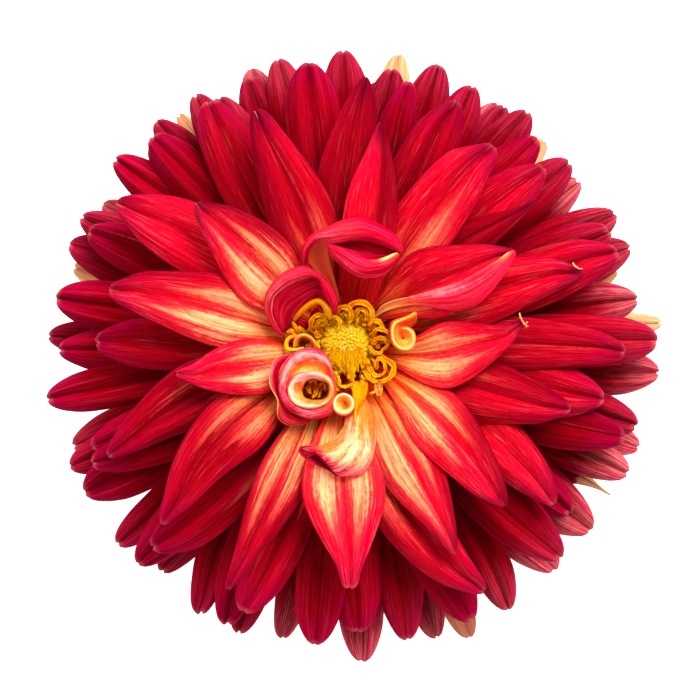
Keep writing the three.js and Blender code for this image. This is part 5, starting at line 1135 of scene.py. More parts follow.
# -- folded petal below the disc: the body, and the side under its turned tip, darkened with painted shade
curled("fold_body", "folded_petal_bottom", low([
    [(940, 180, 29.5), (975, 180, 29.2), (1005, 180, 29.0), (1035, 180, 29.2), (1060, 180, 29.5)],
    [(900, 330, 33.6), (950, 330, 33.8), (1005, 325, 34.0), (1055, 315, 33.8), (1102, 300, 33.2)],
    [(800, 520, 36.6), (880, 510, 38.0), (985, 500, 38.6), (1092, 490, 38.0), (1190, 480, 36.2)],
    [(768, 650, 39.0), (850, 670, 41.0), (965, 680, 41.8), (1102, 670, 41.0), (1226, 655, 38.2)],
    [(660, 800, 40.8), (800, 850, 42.6), (940, 865, 44.0), (1112, 845, 43.0), (1236, 820, 40.0)],
    [(530, 893, 42.0), (690, 935, 43.6), (880, 985, 45.4), (1100, 985, 44.2), (1217, 965, 41.0)],
    [(400, 940, 43.0), (540, 985, 44.6), (790, 1105, 46.2), (1035, 1130, 44.8), (1190, 1115, 41.6)],
    [(300, 943, 43.6), (450, 1010, 44.9), (680, 1180, 46.0), (920, 1260, 44.4), (1130, 1240, 41.4)],
    [(215, 942, 43.8), (410, 1028, 44.8), (600, 1205, 45.2), (790, 1350, 43.2), (1000, 1365, 41.2)],
    [(150, 962, 43.9), (385, 1050, 44.4), (555, 1225, 44.4), (675, 1355, 42.8), (840, 1400, 41.0)]]),
    lambda u, v: (0.66 * (1 - smooth(0.70, 0.94, u + 0.05 * v)) * (0.72 + 0.28 * bump1(v, 0.5, 0.5)) + 0.35 * bump1(v, 0.0, 0.05) * (1 - smooth(0.5, 0.7, u)),
                  0.10 * bump1(v, 0.1, 0.08) * bump1(u, 0.5, 0.12),
                  0.66 * bump1(v, 0.62, 0.34) * bump1(u, 0.58, 0.28) + 0.40 * bump1(v, 0.02, 0.06) * (1 - smooth(0.5, 0.6, u)) + 0.50 * bump1(v, 0.30, 0.16) * bump1(u, 0.36, 0.22)
                  + 0.25 * bump1(v, 0.85, 0.14) * bump1(u, 0.76, 0.16) + 0.15 * bump1(v, 0.98, 0.05) + 0.12 * smooth(0.6, 0.8, u)),
    n=(8, 8), grain=(1.0, 0.8))
curled("fold_under", "folded_petal_bottom", low([
    [(152, 962, 43.5), (135, 985, 43.2), (132, 1012, 43.2)],
    [(255, 1010, 43.0), (220, 1050, 42.0), (190, 1098, 42.4)],
    [(395, 1045, 43.6), (330, 1095, 41.2), (250, 1142, 41.8)],
    [(470, 1130, 43.6), (430, 1165, 40.8), (370, 1217, 41.4)],
    [(560, 1220, 43.4), (520, 1240, 40.8), (470, 1252, 41.2)],
    [(640, 1320, 42.4), (600, 1312, 40.8), (560, 1292, 41.0)],
    [(700, 1375, 41.8), (670, 1370, 40.8), (640, 1350, 41.0)]]),
    lambda u, v: (0.0, 0.75 * bump1(v, 0.35, 0.35) * smooth(0.15, 0.35, u) + 0.2, 0.35 * bump1(v, 1.0, 0.06) + 0.3 * bump1(u, 0.18, 0.1) * bump1(v, 0.3, 0.3)), n=(6, 7), t=0.34)
curled("fold_rim", "folded_petal_bottom", low([
    [(420, 985, 44.6), (425, 1000, 44.8)], [(330, 950, 44.0), (330, 972, 44.3)], [(230, 932, 43.8), (236, 956, 44.1)], [(160, 945, 43.7), (176, 968, 44.0)],
    [(122, 985, 43.5), (148, 1000, 43.8)], [(135, 1045, 43.2), (162, 1042, 43.6)], [(190, 1098, 42.9), (206, 1078, 43.3)], [(260, 1105, 42.9), (262, 1082, 43.3)],
    [(330, 1070, 43.3), (324, 1052, 43.6)], [(400, 1048, 44.0), (396, 1036, 44.2)]]), lambda u, v: (0.0, 0.45, 0.10), n=(6, 4), t=0.36)

# -- rolled petal on the right
curled("roll_right", "rolled_petal_right", mid([
    [(1160, 760, 36.6), (1152, 722, 37.4), (1148, 702, 38.8), (1146, 694, 38.4)],
    [(1164, 762, 36.5), (1182, 722, 37.8), (1190, 704, 39.2), (1194, 692, 38.0)],
    [(1167, 765, 36.4), (1208, 744, 37.8), (1226, 730, 39.4), (1238, 718, 37.8)],
    [(1168, 770, 36.4), (1218, 776, 37.8), (1240, 775, 39.4), (1252, 774, 37.0)],
    [(1167, 774, 36.4), (1208, 812, 37.8), (1225, 826, 39.2), (1234, 838, 36.4)],
    [(1163, 776, 36.4), (1182, 828, 37.8), (1190, 850, 39.0), (1193, 862, 35.8)],
    [(1158, 775, 36.4), (1145, 822, 37.8), (1138, 840, 39.0), (1130, 852, 35.4)],
    [(1155, 772, 36.4), (1116, 796, 37.8), (1100, 802, 39.2), (1084, 812, 35.4)],
    [(1153, 766, 36.4), (1104, 760, 38.0), (1086, 756, 39.6), (1066, 756, 35.6)],
    [(1166, 768, 36.0), (1106, 716, 38.0), (1086, 700, 39.8), (1064, 692, 35.8)],
    [(1176, 742, 34.6), (1130, 690, 37.0), (1106, 660, 39.8), (1082, 648, 36.0)],
    [(1198, 728, 34.6), (1172, 670, 36.6), (1152, 638, 39.4), (1140, 628, 36.4)],
    [(1218, 694, 34.2), (1212, 655, 36.4), (1200, 618, 38.8), (1192, 612, 36.6)],
    [(1248, 668, 34.4), (1250, 630, 36.6), (1246, 592, 38.4), (1240, 588, 37.4)],
    [(1262, 640, 34.8), (1264, 615, 36.4), (1258, 596, 37.6), (1254, 592, 37.4)]]),
    lambda u, v: (0.58 + 0.26 * bump1(u, 0.30, 0.20) + 0.30 * bump1(v, 0.64, 0.09) - 0.26 * smooth(0.68, 0.80, u) * (1 - bump1(v, 0.64, 0.12)) - 0.55 * smooth(0.74, 0.95, v) * bump1(u, 0.6, 0.16), 0.04 * (1 - smooth(0.0, 0.35, v)),
                  0.34 * bump1(v, 0.40, 0.25) * bump1(u, 0.30, 0.18) + 0.55 * bump1(v, 0.64, 0.07) * (1 - 0.6 * smooth(0.66, 0.82, u))),
    n=(6, 6), t=0.38)
# painted shade: the back of the roll darkens towards its low edge
curled("roll_right_back", "rolled_petal_right", mid([
    [(1084, 812, 35.2), (1090, 800, 33.0), (1100, 790, 30.8)],
    [(1064, 756, 35.6), (1072, 756, 33.0), (1086, 760, 30.5)],
    [(1063, 692, 35.8), (1070, 700, 33.0), (1082, 712, 30.4)],
    [(1082, 646, 36.0), (1086, 655, 33.4), (1096, 680, 30.8)]]), lambda u, v: (0.1, 0.2 + 0.5 * v, 0.15 * (1 - v)), n=(6, 5), t=0.36)
# painted shade: the foot, low under the florets, is darkened all over
curled("roll_right_foot", "rolled_petal_right", mid([
    [(960, 760, 26.6), (960, 790, 26.4), (962, 815, 26.8)],
    [(1035, 755, 29.0), (1035, 785, 28.6), (1040, 815, 29.2)],
    [(1110, 745, 32.0), (1110, 780, 31.6), (1115, 812, 32.2)],
    [(1160, 742, 34.0), (1160, 772, 33.6), (1160, 800, 34.0)]]), lambda u, v: (0.8, 0.45, 0.0), n=(5, 5), t=0.36, block=False)

# -- rolled petal on the left: one arch inside another
# painted shade along the low inner edge of the inner arch
curled("roll_left_inner", "rolled_petal_left", mid([
    [(425, 838, 30.5), (400, 838, 32.6), (386, 836, 33.8), (380, 840, 31.6)],
    [(430, 805, 30.5), (408, 795, 33.2), (394, 788, 34.6), (386, 784, 32.0)],
    [(448, 785, 30.5), (434, 768, 33.6), (424, 756, 35.0), (416, 746, 32.4)],
    [(470, 782, 30.5), (470, 764, 33.6), (468, 750, 35.0), (468, 738, 32.4)],
    [(490, 796, 30.4), (500, 782, 33.2), (508, 772, 34.4), (516, 762, 32.0)],
    [(500, 815, 30.3), (520, 810, 32.6), (532, 806, 33.6), (542, 802, 31.6)],
    [(504, 835, 30.2), (526, 838, 31.8), (540, 840, 32.6), (548, 842, 31.0)]]),
    lambda u, v: (0.60 + 0.34 * bump1(v, 0.78, 0.16), 0.80 * (1 - smooth(0.0, 0.45, v)), 0.16 * bump1(v, 0.72, 0.12)), n=(6, 6), t=0.32)
curled("roll_left_outer", "rolled_petal_left", mid([
    [(462, 850, 32.6), (460, 840, 33.4), (456, 832, 32.6)],
    [(410, 868, 32.8), (404, 852, 34.2), (400, 842, 33.0)],
    [(350, 872, 32.8), (348, 852, 34.4), (352, 838, 33.0)],
    [(318, 846, 32.6), (330, 832, 34.2), (344, 824, 32.8)],
    [(316, 805, 32.4), (330, 800, 34.2), (346, 800, 32.4)],
    [(330, 770, 32.2), (345, 774, 34.0), (358, 782, 32.2)],
    [(366, 748, 32.0), (374, 760, 33.6), (382, 772, 31.8)],
    [(405, 745, 31.4), (408, 756, 32.4), (410, 766, 31.2)]]),
    lambda u, v: (0.95 - 0.35 * smooth(0.5, 1.0, u), 0.0, 0.25 * bump1(v, 0.5, 0.2)), n=(6, 6), t=0.32, material=AMBER)
# painted shade: the foot, low under the florets, is darkened all over
curled("roll_left_foot", "rolled_petal_left", mid([
    [(545, 770, 26.2), (545, 790, 26.0), (545, 812, 26.2)],
    [(500, 775, 27.8), (500, 800, 27.4), (500, 825, 27.8)],
    [(440, 780, 30.2), (440, 810, 30.0), (440, 840, 30.2)],
    [(395, 785, 32.0), (395, 812, 31.6), (395, 838, 32.0)]]), lambda u, v: (0.4, 0.7, 0.0), n=(5, 5), t=0.34, block=False)


# ------------------------------------------------------ the disc and florets

def merge(parts):
    """Joins (verts, faces, uv, mask) lists into one."""
    vs, fs, us, ms, n = [], [], [], [], 0
    for v, f, u, m in parts:
        vs.append(v); fs.append(f + n); us.append(u); ms.append(m); n += len(v)
    return np.vstack(vs), np.vstack(fs), np.vstack(us), np.vstack(ms)


def bud(at, axis, length, radius, seed, tint):
    """A closed pointed bud: rings of eight round its axis, a little pleated."""
    axis = axis / np.linalg.norm(axis)
    e1 = np.cross(axis, [0.3, 0.9, 0.2]); e1 /= np.linalg.norm(e1)
    e2 = np.cross(axis, e1)
    s = np.linspace(0, 1, 8)
    share = np.sin(np.pi * clamp(s, 0, 1) ** 0.8 * 0.93 + 0.12) ** 0.85
    share[-1] = 0.0
    share[0] = 0.0
    a = np.arange(10) * 2 * np.pi / 10 + seed
    pleat = 1 + 0.10 * np.cos(a * 5)
    ring = (np.cos(a)[:, None] * e1 + np.sin(a)[:, None] * e2) * pleat[:, None] * radius
    v = at + (s * length)[:, None, None] * axis + share[:, None, None] * ring[None]
    I = np.arange(80).reshape(8, 10)
    J = np.roll(I, -1, 1)
    f = np.stack([I[:-1], J[:-1], J[1:], I[1:]], -1).reshape(-1, 4)
    uv = np.stack([np.repeat(s, 10), np.tile(a / (2 * np.pi), 8)], 1)
    # second channel: 1 for a bud whose tip gets a painted glint
    mask = np.tile([tint, 1.0 if int(seed / 0.7 + 0.5) in GLINT_BUDS else 0.0, 0.0, 1.0], (80, 1))
    mask[:, 2] = np.repeat(s, 10)
    return v.reshape(-1, 3), f, uv, mask


def bud_material():
    m = Mat("disc_bud")
    s, y = m.uv()
    tint, seed, along, _ = m.attr("mask")
    px, py, pz = m.place()
    n = m.noise(px * 1600.0, py * 1600.0, pz * 1600.0, 1.0, 3.0, 0.6)
    young = m.ramp(along + (n - 0.5) * 0.5, [(0.0, (156, 106, 0)), (0.35, (178, 128, 2)), (0.7, (196, 148, 6)), (1.0, (222, 176, 24))])
    ripe = m.ramp(along + (n - 0.5) * 0.5, [(0.0, (176, 96, 0)), (0.4, (222, 144, 0)), (0.75, (236, 162, 4)), (1.0, (246, 190, 30))])
    col = m.mix(tint, young, ripe)
    col = m.mix(((y * 31.4).sin() * 0.5 + 0.1).clip() * 0.25, col, (150, 96, 0))
    # painted glint: a pale spot near the tip of the marked buds
    col = m.mix(seed * (along + (n - 0.5) * 0.8).step(0.76, 0.96) * 0.62, col, (244, 196, 136))
    m.color(col)
    m.set(Specular_IOR_Level=0.22, Roughness=0.42, Subsurface_Weight=0.2, Subsurface_Scale=0.0008)
    m.bump(n, 0.00012, 0.7)
    return m.mat


BUD = bud_material()
GLINT_BUDS = (1, 7, 12, 18, 24, 31, 39, 48, 52, 66)  # buds whose tip carries a painted glint
rng = np.random.default_rng(77)
parts = []
COUNT = 118
for k in range(COUNT):
    a = k * math.radians(137.508)
    q = math.sqrt((k + 0.6) / COUNT)
    r = 6.5 * q
    lean = lerp(0.05, 0.50, q) * rng.uniform(0.85, 1.15)
    z = lerp(30.2, 27.8, q ** 2.0)
    at = np.array([AXIS[0] + r * math.cos(a), AXIS[1] + r * math.sin(a), z])
    axis = np.array([-lean * math.cos(a + 0.12), -lean * math.sin(a + 0.12), 1.0])
    length = lerp(2.5, 4.4, q ** 0.9) * rng.uniform(0.94, 1.08)
    below = clamp(-math.sin(a) * 0.8 + 0.1) * smooth(0.45, 0.9, q)
    parts.append(bud(at, axis, length, lerp(0.84, 1.04, q), k * 0.7, float(clamp(0.10 + below * 0.7 + rng.uniform(-0.05, 0.1)))))
v, f, uv, mask = merge(parts)
ob = make_object("disc_bud_field", v, f, uv, {"mask": mask}, BUD)
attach(ob, "root")
CENTRE.setdefault("disc_buds", []).append(ob)


def strip(points, half, trough, warm, dark=0.0, light=0.0, sides=6):
    """A curling floret: a trough-shaped strip along points in middle-steps; half is its half-width in mm."""
    p = spline(np.array([(240 + x / 7.127, 230 + y / 7.127, z) for x, y, z in points], float), 6)
    c = to_mm(p)
    k = len(c)
    d = np.gradient(c, axis=0)
    d /= np.linalg.norm(d, axis=1, keepdims=True)
    side = np.cross(d, [0, 0, 1.0]); side /= np.maximum(np.linalg.norm(side, axis=1, keepdims=True), 1e-6)
    up = np.cross(side, d)
    u = np.linspace(0, 1, k)
    w = half * (0.45 + 0.75 * np.sin(np.pi * clamp(u * 0.92 + 0.04)) ** 0.7)
    v = np.linspace(-1, 1, sides + 1)
    g = c[:, None] + side[:, None] * (w[:, None] * v[None])[..., None] + up[:, None] * (trough * w[:, None] * (v[None] ** 2 - 0.3))[..., None]
    seed = points[0][0] * 0.37 + points[-1][1] * 0.11
    curl = 0.48 * half * np.sin(u * 19.0 + seed)[:, None] * v[None] + 0.26 * half * np.sin(u * 37.0 + seed * 2)[:, None] * np.abs(v)[None]
    g = g + up[:, None] * curl[..., None] + side[:, None] * (0.16 * half * np.sin(u * 27.0 + seed)[:, None] * np.abs(v)[None] * np.sign(v)[None])[..., None]
    verts, quads, src, under = shell(g, 0.24)
    i, j = np.divmod(src, sides + 1)
    uu, vv = i / (k - 1), j / sides
    # painted shade darkens the middle of the trough, most near the foot; the edges are warmer
    m = np.stack([clamp(warm - 0.12 + 0.25 * (uu - 0.5) + 0.42 * np.abs(vv * 2 - 1)), clamp(dark + 0.40 * (1 - np.abs(vv * 2 - 1)) * (1 - 0.7 * uu)), clamp(light * bump1(uu, 0.6, 0.3)), under], 1)
    return verts, quads, np.stack([uu * 0.8, vv * 0.5], 1), m


CURLS = [  # path (x, y, z) from foot to tip, half width, trough, warm, dark, light
    ([(560, 760, 29), (520, 715, 32), (505, 665, 34.5), (535, 615, 36), (585, 608, 36), (612, 645, 34.8)], 0.50, 0.5, 0.55, 0.0, 0.0),
    ([(585, 745, 29), (552, 712, 32), (545, 672, 34), (575, 640, 35), (608, 645, 34.5), (622, 668, 33.5)], 0.42, 0.5, 0.65, 0.0, 0.0),
    ([(600, 740, 29.5), (575, 712, 32), (572, 685, 33.6), (592, 668, 34), (604, 690, 33)], 0.40, 0.5, 0.45, 0.1, 0.0),
    ([(530, 760, 29), (500, 725, 31.5), (498, 700, 32.5), (530, 690, 33)], 0.34, 0.5, 0.55, 0.0, 0.0),
    ([(590, 800, 29), (560, 790, 31.5), (556, 820, 33), (572, 842, 33)], 0.30, 0.5, 0.75, 0.0, 0.0),
    ([(600, 770, 29), (570, 755, 31.5), (548, 762, 32.6), (530, 745, 32.6)], 0.32, 0.5, 0.55, 0.0, 0.0),
    ([(690, 690, 29.5), (664, 655, 32.5), (676, 625, 34), (705, 640, 34), (712, 690, 33.4), (690, 740, 32.4)], 0.42, 0.5, 0.60, 0.0, 0.0),
    ([(705, 680, 29.5), (690, 600, 33), (712, 558, 35), (760, 552, 36), (792, 590, 35.5), (786, 645, 34), (766, 655, 33.4)], 0.55, 0.6, 0.50, 0.0, 0.0),
    ([(720, 690, 29.5), (722, 630, 33), (740, 600, 34.6), (768, 604, 34.6), (776, 632, 34)], 0.42, 0.5, 0.55, 0.1, 0.0),
    ([(740, 700, 30), (735, 670, 32.5), (720, 650, 33.6), (700, 660, 33.6)], 0.30, 0.5, 0.6, 0.0, 0.0),
    ([(830, 700, 29.5), (775, 600, 33.6), (780, 548, 36), (830, 516, 37.2), (895, 526, 37.2), (938, 572, 36.4), (940, 640, 35), (914, 688, 33.6)], 0.56, 0.7, 0.50, 0.0, 0.0),
    ([(850, 700, 29.5), (832, 640, 33), (828, 595, 35), (856, 566, 36), (893, 580, 35.8), (905, 625, 34.6), (884, 650, 33.6)], 0.42, 0.6, 0.62, 0.0, 0.0),
    ([(868, 700, 29.5), (862, 650, 32.6), (866, 612, 34.2), (886, 612, 34.2)], 0.36, 0.5, 0.45, 0.15, 0.0),
    ([(846, 714, 30), (834, 680, 32.6), (838, 640, 33.8), (850, 620, 34)], 0.26, 0.5, 0.75, 0.0, 0.0),
    ([(905, 720, 29.5), (932, 690, 32.5), (950, 650, 34.5), (990, 655, 35.2), (1015, 700, 34.4), (975, 715, 33.4)], 0.50, 0.6, 0.50, 0.0, 0.0),
    ([(905, 745, 29.5), (945, 745, 32.5), (975, 708, 34.6), (1022, 712, 35.2), (1062, 735, 34.8), (1076, 778, 34), (1040, 800, 33)], 0.46, 0.6, 0.55, 0.0, 0.0),
    ([(905, 770, 29.5), (945, 790, 32), (990, 770, 34), (1036, 782, 34.2), (1050, 820, 33.4), (1020, 856, 32.6)], 0.44, 0.5, 0.50, 0.05, 0.0),
    ([(905, 800, 29.5), (928, 840, 32), (958, 872, 33.4), (1000, 876, 33.4), (1022, 842, 33)], 0.40, 0.5, 0.60, 0.0, 0.0),
    ([(900, 830, 29.5), (925, 862, 31.6), (960, 888, 32.4), (985, 880, 32.4)], 0.30, 0.5, 0.55, 0.0, 0.0),
    ([(880, 900, 29.5), (905, 935, 32), (925, 985, 33.6), (962, 1036, 34), (1005, 1035, 34)], 0.52, 0.5, 0.60, 0.0, 0.0),
    ([(895, 885, 29.5), (950, 925, 32.4), (975, 985, 34.6), (975, 935, 36), (1000, 916, 36.4), (1030, 955, 36), (1034, 1005, 35), (1002, 1040, 34)], 0.38, 0.6, 0.55, 0.0, 0.0),
    ([(905, 870, 29.5), (975, 890, 32), (1045, 925, 34.2), (1092, 965, 35), (1090, 1015, 35), (1052, 1062, 34.6), (996, 1086, 34)], 0.58, 0.7, 0.50, 0.0, 0.0),
    ([(860, 920, 29.5), (880, 975, 32), (900, 1020, 33.4), (935, 1065, 34), (985, 1084, 34)], 0.56, 0.5, 0.55, 0.0, 0.0),
    ([(930, 1040, 31), (900, 1062, 33), (872, 1050, 33.4), (868, 1030, 33)], 0.26, 0.5, 0.8, 0.0, 0.0),
    ([(985, 1060, 33), (978, 1105, 33.6), (984, 1150, 33.6), (998, 1188, 33)], 0.62, 0.5, 0.35, 0.0, 0.45),
    ([(1010, 1080, 32.6), (1005, 1130, 33), (1000, 1180, 32.6)], 0.34, 0.5, 0.7, 0.0, 0.0),
    ([(990, 1140, 33.6), (955, 1156, 33.8), (922, 1168, 33.6)], 0.26, 0.5, 0.75, 0.0, 0.0),
    ([(672, 960, 29.5), (690, 1020, 32), (706, 1065, 34), (712, 1108, 34.4), (758, 1116, 34.4), (800, 1102, 34.2), (852, 1134, 34)], 0.34, 0.6, 0.8, 0.0, 0.0),
    ([(850, 1000, 29.5), (866, 1050, 32), (872, 1095, 33.8), (852, 1130, 34)], 0.36, 0.6, 0.65, 0.0, 0.0),
    ([(640, 935, 29.5), (650, 975, 32), (680, 1010, 33), (690, 1040, 33.4)], 0.40, 0.5, 0.65, 0.0, 0.0),
    ([(632, 960, 29.5), (660, 1010, 31.5), (672, 1060, 33), (690, 1105, 33.6), (702, 1150, 33.6)], 0.42, 0.5, 0.50, 0.05, 0.0),
    ([(520, 760, 28.5), (470, 730, 31), (432, 702, 32.6), (418, 684, 33)], 0.34, 0.6, 0.6, 0.0, 0.0),
    ([(480, 745, 29), (440, 742, 31), (404, 700, 33), (372, 652, 34)], 0.38, 0.6, 0.6, 0.0, 0.0),
    ([(470, 752, 29), (410, 742, 31.5), (362, 718, 32.6), (338, 735, 32.2)], 0.42, 0.6, 0.55, 0.0, 0.0),
    ([(440, 748, 30), (386, 728, 32), (352, 704, 33)], 0.30, 0.6, 0.7, 0.0, 0.0),
    ([(612, 860, 29.5), (596, 830, 31.6), (584, 800, 32.6), (604, 772, 32.8)], 0.26, 0.5, 0.7, 0.0, 0.0)]
LONG = [  # long florets that hang below the dome: foot x, tip x, tip y, half width
    (668, 640, 962, 0.55), (690, 662, 985, 0.60), (712, 690, 1000, 0.62), (735, 716, 1022, 0.66), (756, 752, 1040, 0.70),
    (776, 796, 1094, 1.05), (800, 838, 1010, 0.62), (818, 884, 990, 0.66), (836, 925, 985, 0.72), (702, 706, 960, 0.5), (766, 776, 985, 0.5)]
LONG = [([(x0, 842, 32.2), (x0 * 0.66 + x1 * 0.34, 842 + (y1 - 842) * 0.36, 33.4 + k % 3 * 0.25),
          (x0 * 0.25 + x1 * 0.75, 842 + (y1 - 842) * 0.72, 33.7 + k % 3 * 0.3), (x1, y1, 32.9 + k % 2 * 0.3)], half, -0.35, 0.36 + k % 4 * 0.07, 0.0, 0.0)
        for k, (x0, x1, y1, half) in enumerate(LONG)]
v, f, uv, mask = merge([strip(*c) for c in LONG])
ob = make_object("long_florets", v, f, uv, {"mask": mask},
                 curl_material("long_floret", [(140, 78, 0), (184, 116, 0), (216, 148, 2)], [(206, 138, 0), (226, 164, 4), (246, 194, 18)]))
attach(ob, "root")
CENTRE.setdefault("open_disc_florets", []).append(ob)
florets = [strip(*c) for c in CURLS]
# smaller ones that fill the ring below
for k in range(44):
    a = k * 2 * math.pi / 44 + rng.uniform(-0.05, 0.05)
    r0, r1, turn = rng.uniform(160, 185), rng.uniform(205, 275), rng.uniform(-0.45, 0.45)
    z1 = rng.uniform(31.2, 33.0)
    at = lambda r, da, z: (748 + r * math.cos(a + da), 806 - r * math.sin(a + da), z)
    florets.append(strip([at(r0, 0, 27.6), at((r0 + r1) / 2, turn * 0.2, z1 - 1.2), at(r1, turn * 0.5, z1), at(r1 - 16, turn * 0.8, z1 - 0.1), at(r1 - 34, turn * 0.9, z1 - 0.9)],
                         rng.uniform(0.30, 0.46), rng.uniform(0.3, 0.7), rng.uniform(0.2, 0.5), rng.uniform(0.05, 0.3), 0.0))
v, f, uv, mask = merge(florets)
ob = make_object("open_florets", v, f, uv, {"mask": mask}, AMBER)
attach(ob, "root")
CENTRE.setdefault("open_disc_florets", []).append(ob)
# the yellow tongue that hangs from the ring beside the small tube
curled("floret_tongue", "open_disc_florets", mid([
    [(745, 1080, 30), (800, 1075, 31), (855, 1070, 31.4), (905, 1060, 31)],
    [(790, 1135, 34.0), (830, 1130, 35.4), (875, 1125, 35.4), (914, 1110, 34)],
    [(800, 1195, 36.6), (835, 1190, 38.2), (870, 1185, 38.0), (905, 1170, 36.4)],
    [(808, 1240, 38.6), (828, 1238, 40.0), (848, 1236, 39.8), (872, 1228, 38.4)],
    [(812, 1275, 40.0), (822, 1275, 41.0), (830, 1274, 41.0), (842, 1270, 40.0)],
    [(816, 1320, 41.4), (821, 1320, 42.1), (826, 1320, 42.1), (832, 1318, 41.5)],
    [(822, 1372, 42.4), (824, 1373, 42.7), (826, 1373, 42.7), (828, 1372, 42.5)]]),
    lambda u, v: (0.45 + 0.55 * bump1(v, 0.15, 0.25) + 0.3 * smooth(0.6, 1, u), 0.12 * smooth(0.5, 1.0, v), 0.0), n=(6, 5), t=0.3, material=AMBER, block=False)


# -------------------------------------------------- receptacle, stem, bracts

def flesh_material(name, dark, pale, streaks):
    m = Mat(name)
    px, py, pz = m.place()
    s, y = m.uv()
    n = m.noise(px * 500.0, py * 500.0, pz * 120.0, 1.0, 3.0, 0.6)
    f = m.noise(s * 3.0, y * streaks, 1.0, 1.0, 3.0, 0.6)
    col = m.ramp(n * 0.5 + f * 0.5, [(0.3, dark), (0.7, pale)])
    cut, edge, brown, _ = m.attr("mask")
    rings = m.noise(px * 1500.0, py * 1500.0, 3.0, 1.0, 2.0)
    col = m.mix(cut, col, m.ramp(rings, [(0.3, (176, 186, 120)), (0.7, (226, 226, 176))]))
    col = m.mix((edge + (f - 0.5) * 0.3 * (edge * 4.0).clip()).clip(), col, (236, 224, 176))
    col = m.mix((brown + (n - 0.5) * 0.4 * (brown * 4.0).clip()).clip(), col, (120, 78, 34))
    col = m.mix(pz.step(0.0085, 0.0110), col, m.ramp(n, [(0.3, (200, 20, 4)), (0.7, (234, 72, 8))]))
    col = m.mix(pz.step(0.0235, 0.0255), col, (206, 150, 6))
    m.color(col)
    m.set(Roughness=0.6, Specular_IOR_Level=0.25, Subsurface_Weight=0.1, Subsurface_Scale=0.001)
    m.bump(f * 0.8 + n * 0.4, 0.0003, 1.0)
    return m.mat


FLESH = flesh_material("green_flesh", (78, 104, 34), (124, 150, 66), 60.0)
LEAF = flesh_material("green_bract", (62, 96, 28), (116, 146, 56), 26.0)
PAPER = flesh_material("cream_bract", (150, 158, 84), (214, 206, 144), 30.0)

profile = [(0.0, 1.25, 0.9), (2.2, 1.22, 1.0), (2.9, 1.05, 1.0), (3.45, 1.10, 0.8), (3.62, 1.6, 0.0), (3.62, 3.2, 0.0), (3.75, 4.6, 0.0), (4.6, 5.4, 0.0), (6.6, 6.3, 0.0), (10.0, 6.9, 0.0),
           (13.0, 7.7, 0.0), (12.6, 9.2, 0.0), (11.6, 12.4, 0.0), (9.6, 17.2, 0.0), (8.0, 21.4, 0.0), (6.9, 24.6, 0.0), (5.6, 26.0, 0.0), (3.0, 26.6, 0.0), (0.0, 26.8, 0.0)]
fine_p = spline(np.array(profile), 4)
fine_p[:, 0] = clamp(fine_p[:, 0], 0.0, 99)
SIDES = 64
angles = np.arange(SIDES) * 2 * math.pi / SIDES
ribs = 1 + 0.018 * np.cos(angles * 9)[None, :] * (fine_p[:, 1:2] < 7)
rr = fine_p[:, :1] * ribs
rr[0] = rr[-1] = 0.0
v = np.stack([AXIS[0] + rr * np.cos(angles), AXIS[1] + rr * np.sin(angles), np.repeat(fine_p[:, 1:2], SIDES, 1)], -1)
I = np.arange(v.shape[0] * SIDES).reshape(-1, SIDES)
J = np.roll(I, -1, 1)
f = np.stack([I[:-1], J[:-1], J[1:], I[1:]], -1).reshape(-1, 4)
uv = np.stack([np.repeat(fine_p[:, 1] / 8, SIDES), np.tile(angles / (2 * math.pi), len(fine_p))], 1)
mask = np.zeros((len(uv), 4))
mask[:, 0] = np.repeat(clamp(fine_p[:, 2]), SIDES)
mask[:, 2] = np.repeat(np.exp(-((fine_p[:, 0] - 3.5) / 0.2) ** 2) * (fine_p[:, 1] < 1.6) * 0.6, SIDES)
ob = make_object("receptacle_and_stem", v.reshape(-1, 3), f, uv, {"mask": mask}, FLESH)
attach(ob, "root")
CENTRE.setdefault("receptacle_with_stem", []).append(ob)


def bracts(prefix, node, count, reach, root_r, root_z, tip_z, width, turn, material, edge, seed):
    """A ring of bracts under the flower, each a cupped pointed blade."""
    rng = np.random.default_rng(seed)
    nu, nv = 28, 14
    u = np.linspace(0, 1, nu + 1)
    v = np.linspace(-1, 1, nv + 1)
    share = np.interp(u, [0, 0.15, 0.45, 0.7, 0.88, 0.96, 1], [0.78, 0.86, 1.0, 0.92, 0.6, 0.33, 0.06])
    for k in range(count):
        a = turn + k * 2 * math.pi / count + rng.uniform(-0.06, 0.06)
        ca, sa = math.cos(a), math.sin(a)
        far = reach * rng.uniform(0.94, 1.0)
        bend = rng.uniform(-1.2, 1.2)
        r = lerp(root_r - 0.9, far, u)[:, None] * np.ones(nv + 1)
        w = width / 2 * share[:, None] * v[None, :] + bend * (u[:, None] ** 2)
        g = np.zeros((nu + 1, nv + 1, 3))
        g[..., 0] = AXIS[0] + ca * r - sa * w
        g[..., 1] = AXIS[1] + sa * r + ca * w
        g[..., 2] = lerp(root_z, tip_z, u[:, None] ** 2) + 0.5 * np.abs(v[None, :]) ** 2 * (1 - 0.6 * u[:, None]) + 0.15 * np.sin(u[:, None] * 9 + k + v[None, :] * 2)
        press(g, u, v, skip_foot=0.02)
        g[..., 2] = np.maximum(g[..., 2], 0.45)
        lower_ceiling(g, 0.4)
        verts, quads, src, under = shell(g, 0.55)
        i, j = np.divmod(src, nv + 1)
        m = np.zeros((len(src), 4))
        m[:, 1] = edge * clamp(smooth(0.72, 1.0, np.abs(v[j])) + smooth(0.86, 1.0, u[i]))
        m[:, 2] = 0.35 * smooth(0.93, 1.0, u[i])
        ob = make_object("%s_%d" % (prefix, k + 1), verts, quads, np.stack([u[i], v[j] * 0.5 + 0.5], 1), {"mask": m}, material)
        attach(ob, "root")
        CENTRE.setdefault(node, []).append(ob)


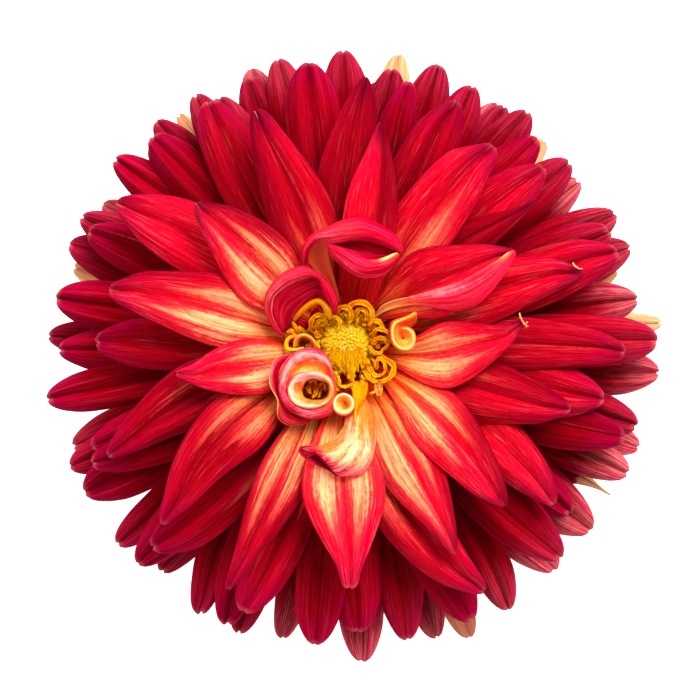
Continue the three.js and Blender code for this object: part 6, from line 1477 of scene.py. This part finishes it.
def build_bracts():
    bracts("cream_bract", "inner_bracts", 8, 23.0, 7.0, 5.3, 3.6, 9.5, 0.2, PAPER, 0.6, 5)
    bracts("green_bract", "green_bracts", 6, 17.0, 4.4, 3.0, 1.0, 6.2, 0.5, LEAF, 0.25, 6)




order = sorted(range(len(PETALS)), key=lambda k: PETALS[k][1])
for k in order:
    petal(PETALS[k], k)
build_bracts()
for table in (ROW, CENTRE):
    for node, obs in table.items():
        for ob in obs:
            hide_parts(node)
print("moved most:", sorted(report, key=lambda r: -r[2])[:14])


# ------------------------------------------------------------- stage, lights

def stage():
    m = Mat("paper_floor")
    x, y, z = m.place()
    n = m.noise(x, y, z, 40.0, 3.0)
    m.color(m.ramp(n, [(0.0, (250, 250, 250)), (1.0, (255, 255, 255))]))
    m.set(Roughness=0.9, Specular_IOR_Level=0.1, Emission_Strength=0.9)
    m.bsdf.inputs["Emission Color"].default_value = (1, 1, 1, 1)
    me = bpy.data.meshes.new("floor")
    k = 12.0
    me.from_pydata([(-k, -k, 0), (k, -k, 0), (k, k, 0), (-k, k, 0)], [], [(0, 1, 2, 3)])
    ob = bpy.data.objects.new("floor", me)
    bpy.context.scene.collection.objects.link(ob)
    me.materials.append(m.mat)


def light(name, at, size, power, colour=(1, 1, 1), target=(0, 0, 0.02)):
    d = bpy.data.lights.new(name, "AREA")
    d.shape = "DISK"
    d.size = size
    d.energy = power
    d.color = colour
    ob = bpy.data.objects.new(name, d)
    ob.location = at
    from mathutils import Vector
    ob.rotation_euler = (Vector(target) - Vector(at)).to_track_quat("-Z", "Y").to_euler()
    bpy.context.scene.collection.objects.link(ob)


stage()
light("key", (0.38, 0.66, 1.05), 0.80, 29.6)
light("fill", (-1.0, 0.40, 1.0), 1.0, 8.6)
world = bpy.data.worlds.new("studio")
world.use_nodes = True
world.node_tree.nodes["Background"].inputs[0].default_value = (1, 1, 1, 1)
world.node_tree.nodes["Background"].inputs[1].default_value = 0.61
scene = bpy.context.scene
scene.world = world
scene.view_settings.view_transform = "Standard"
scene.view_settings.look = "None"
scene.view_settings.exposure = 0.0
scene.view_settings.gamma = 1.0

cam = bpy.data.cameras.new("camera")
cam.sensor_width = 36.0
cam.lens = 36.0 * (CAMERA_Z - SCALE_Z) / (700 * PX_MM)
cam.clip_start = 0.01
cam_ob = bpy.data.objects.new("camera", cam)
cam_ob.location = (CAMERA_XY[0] * MM, CAMERA_XY[1] * MM, CAMERA_Z * MM)
scene.collection.objects.link(cam_ob)
scene.camera = cam_ob
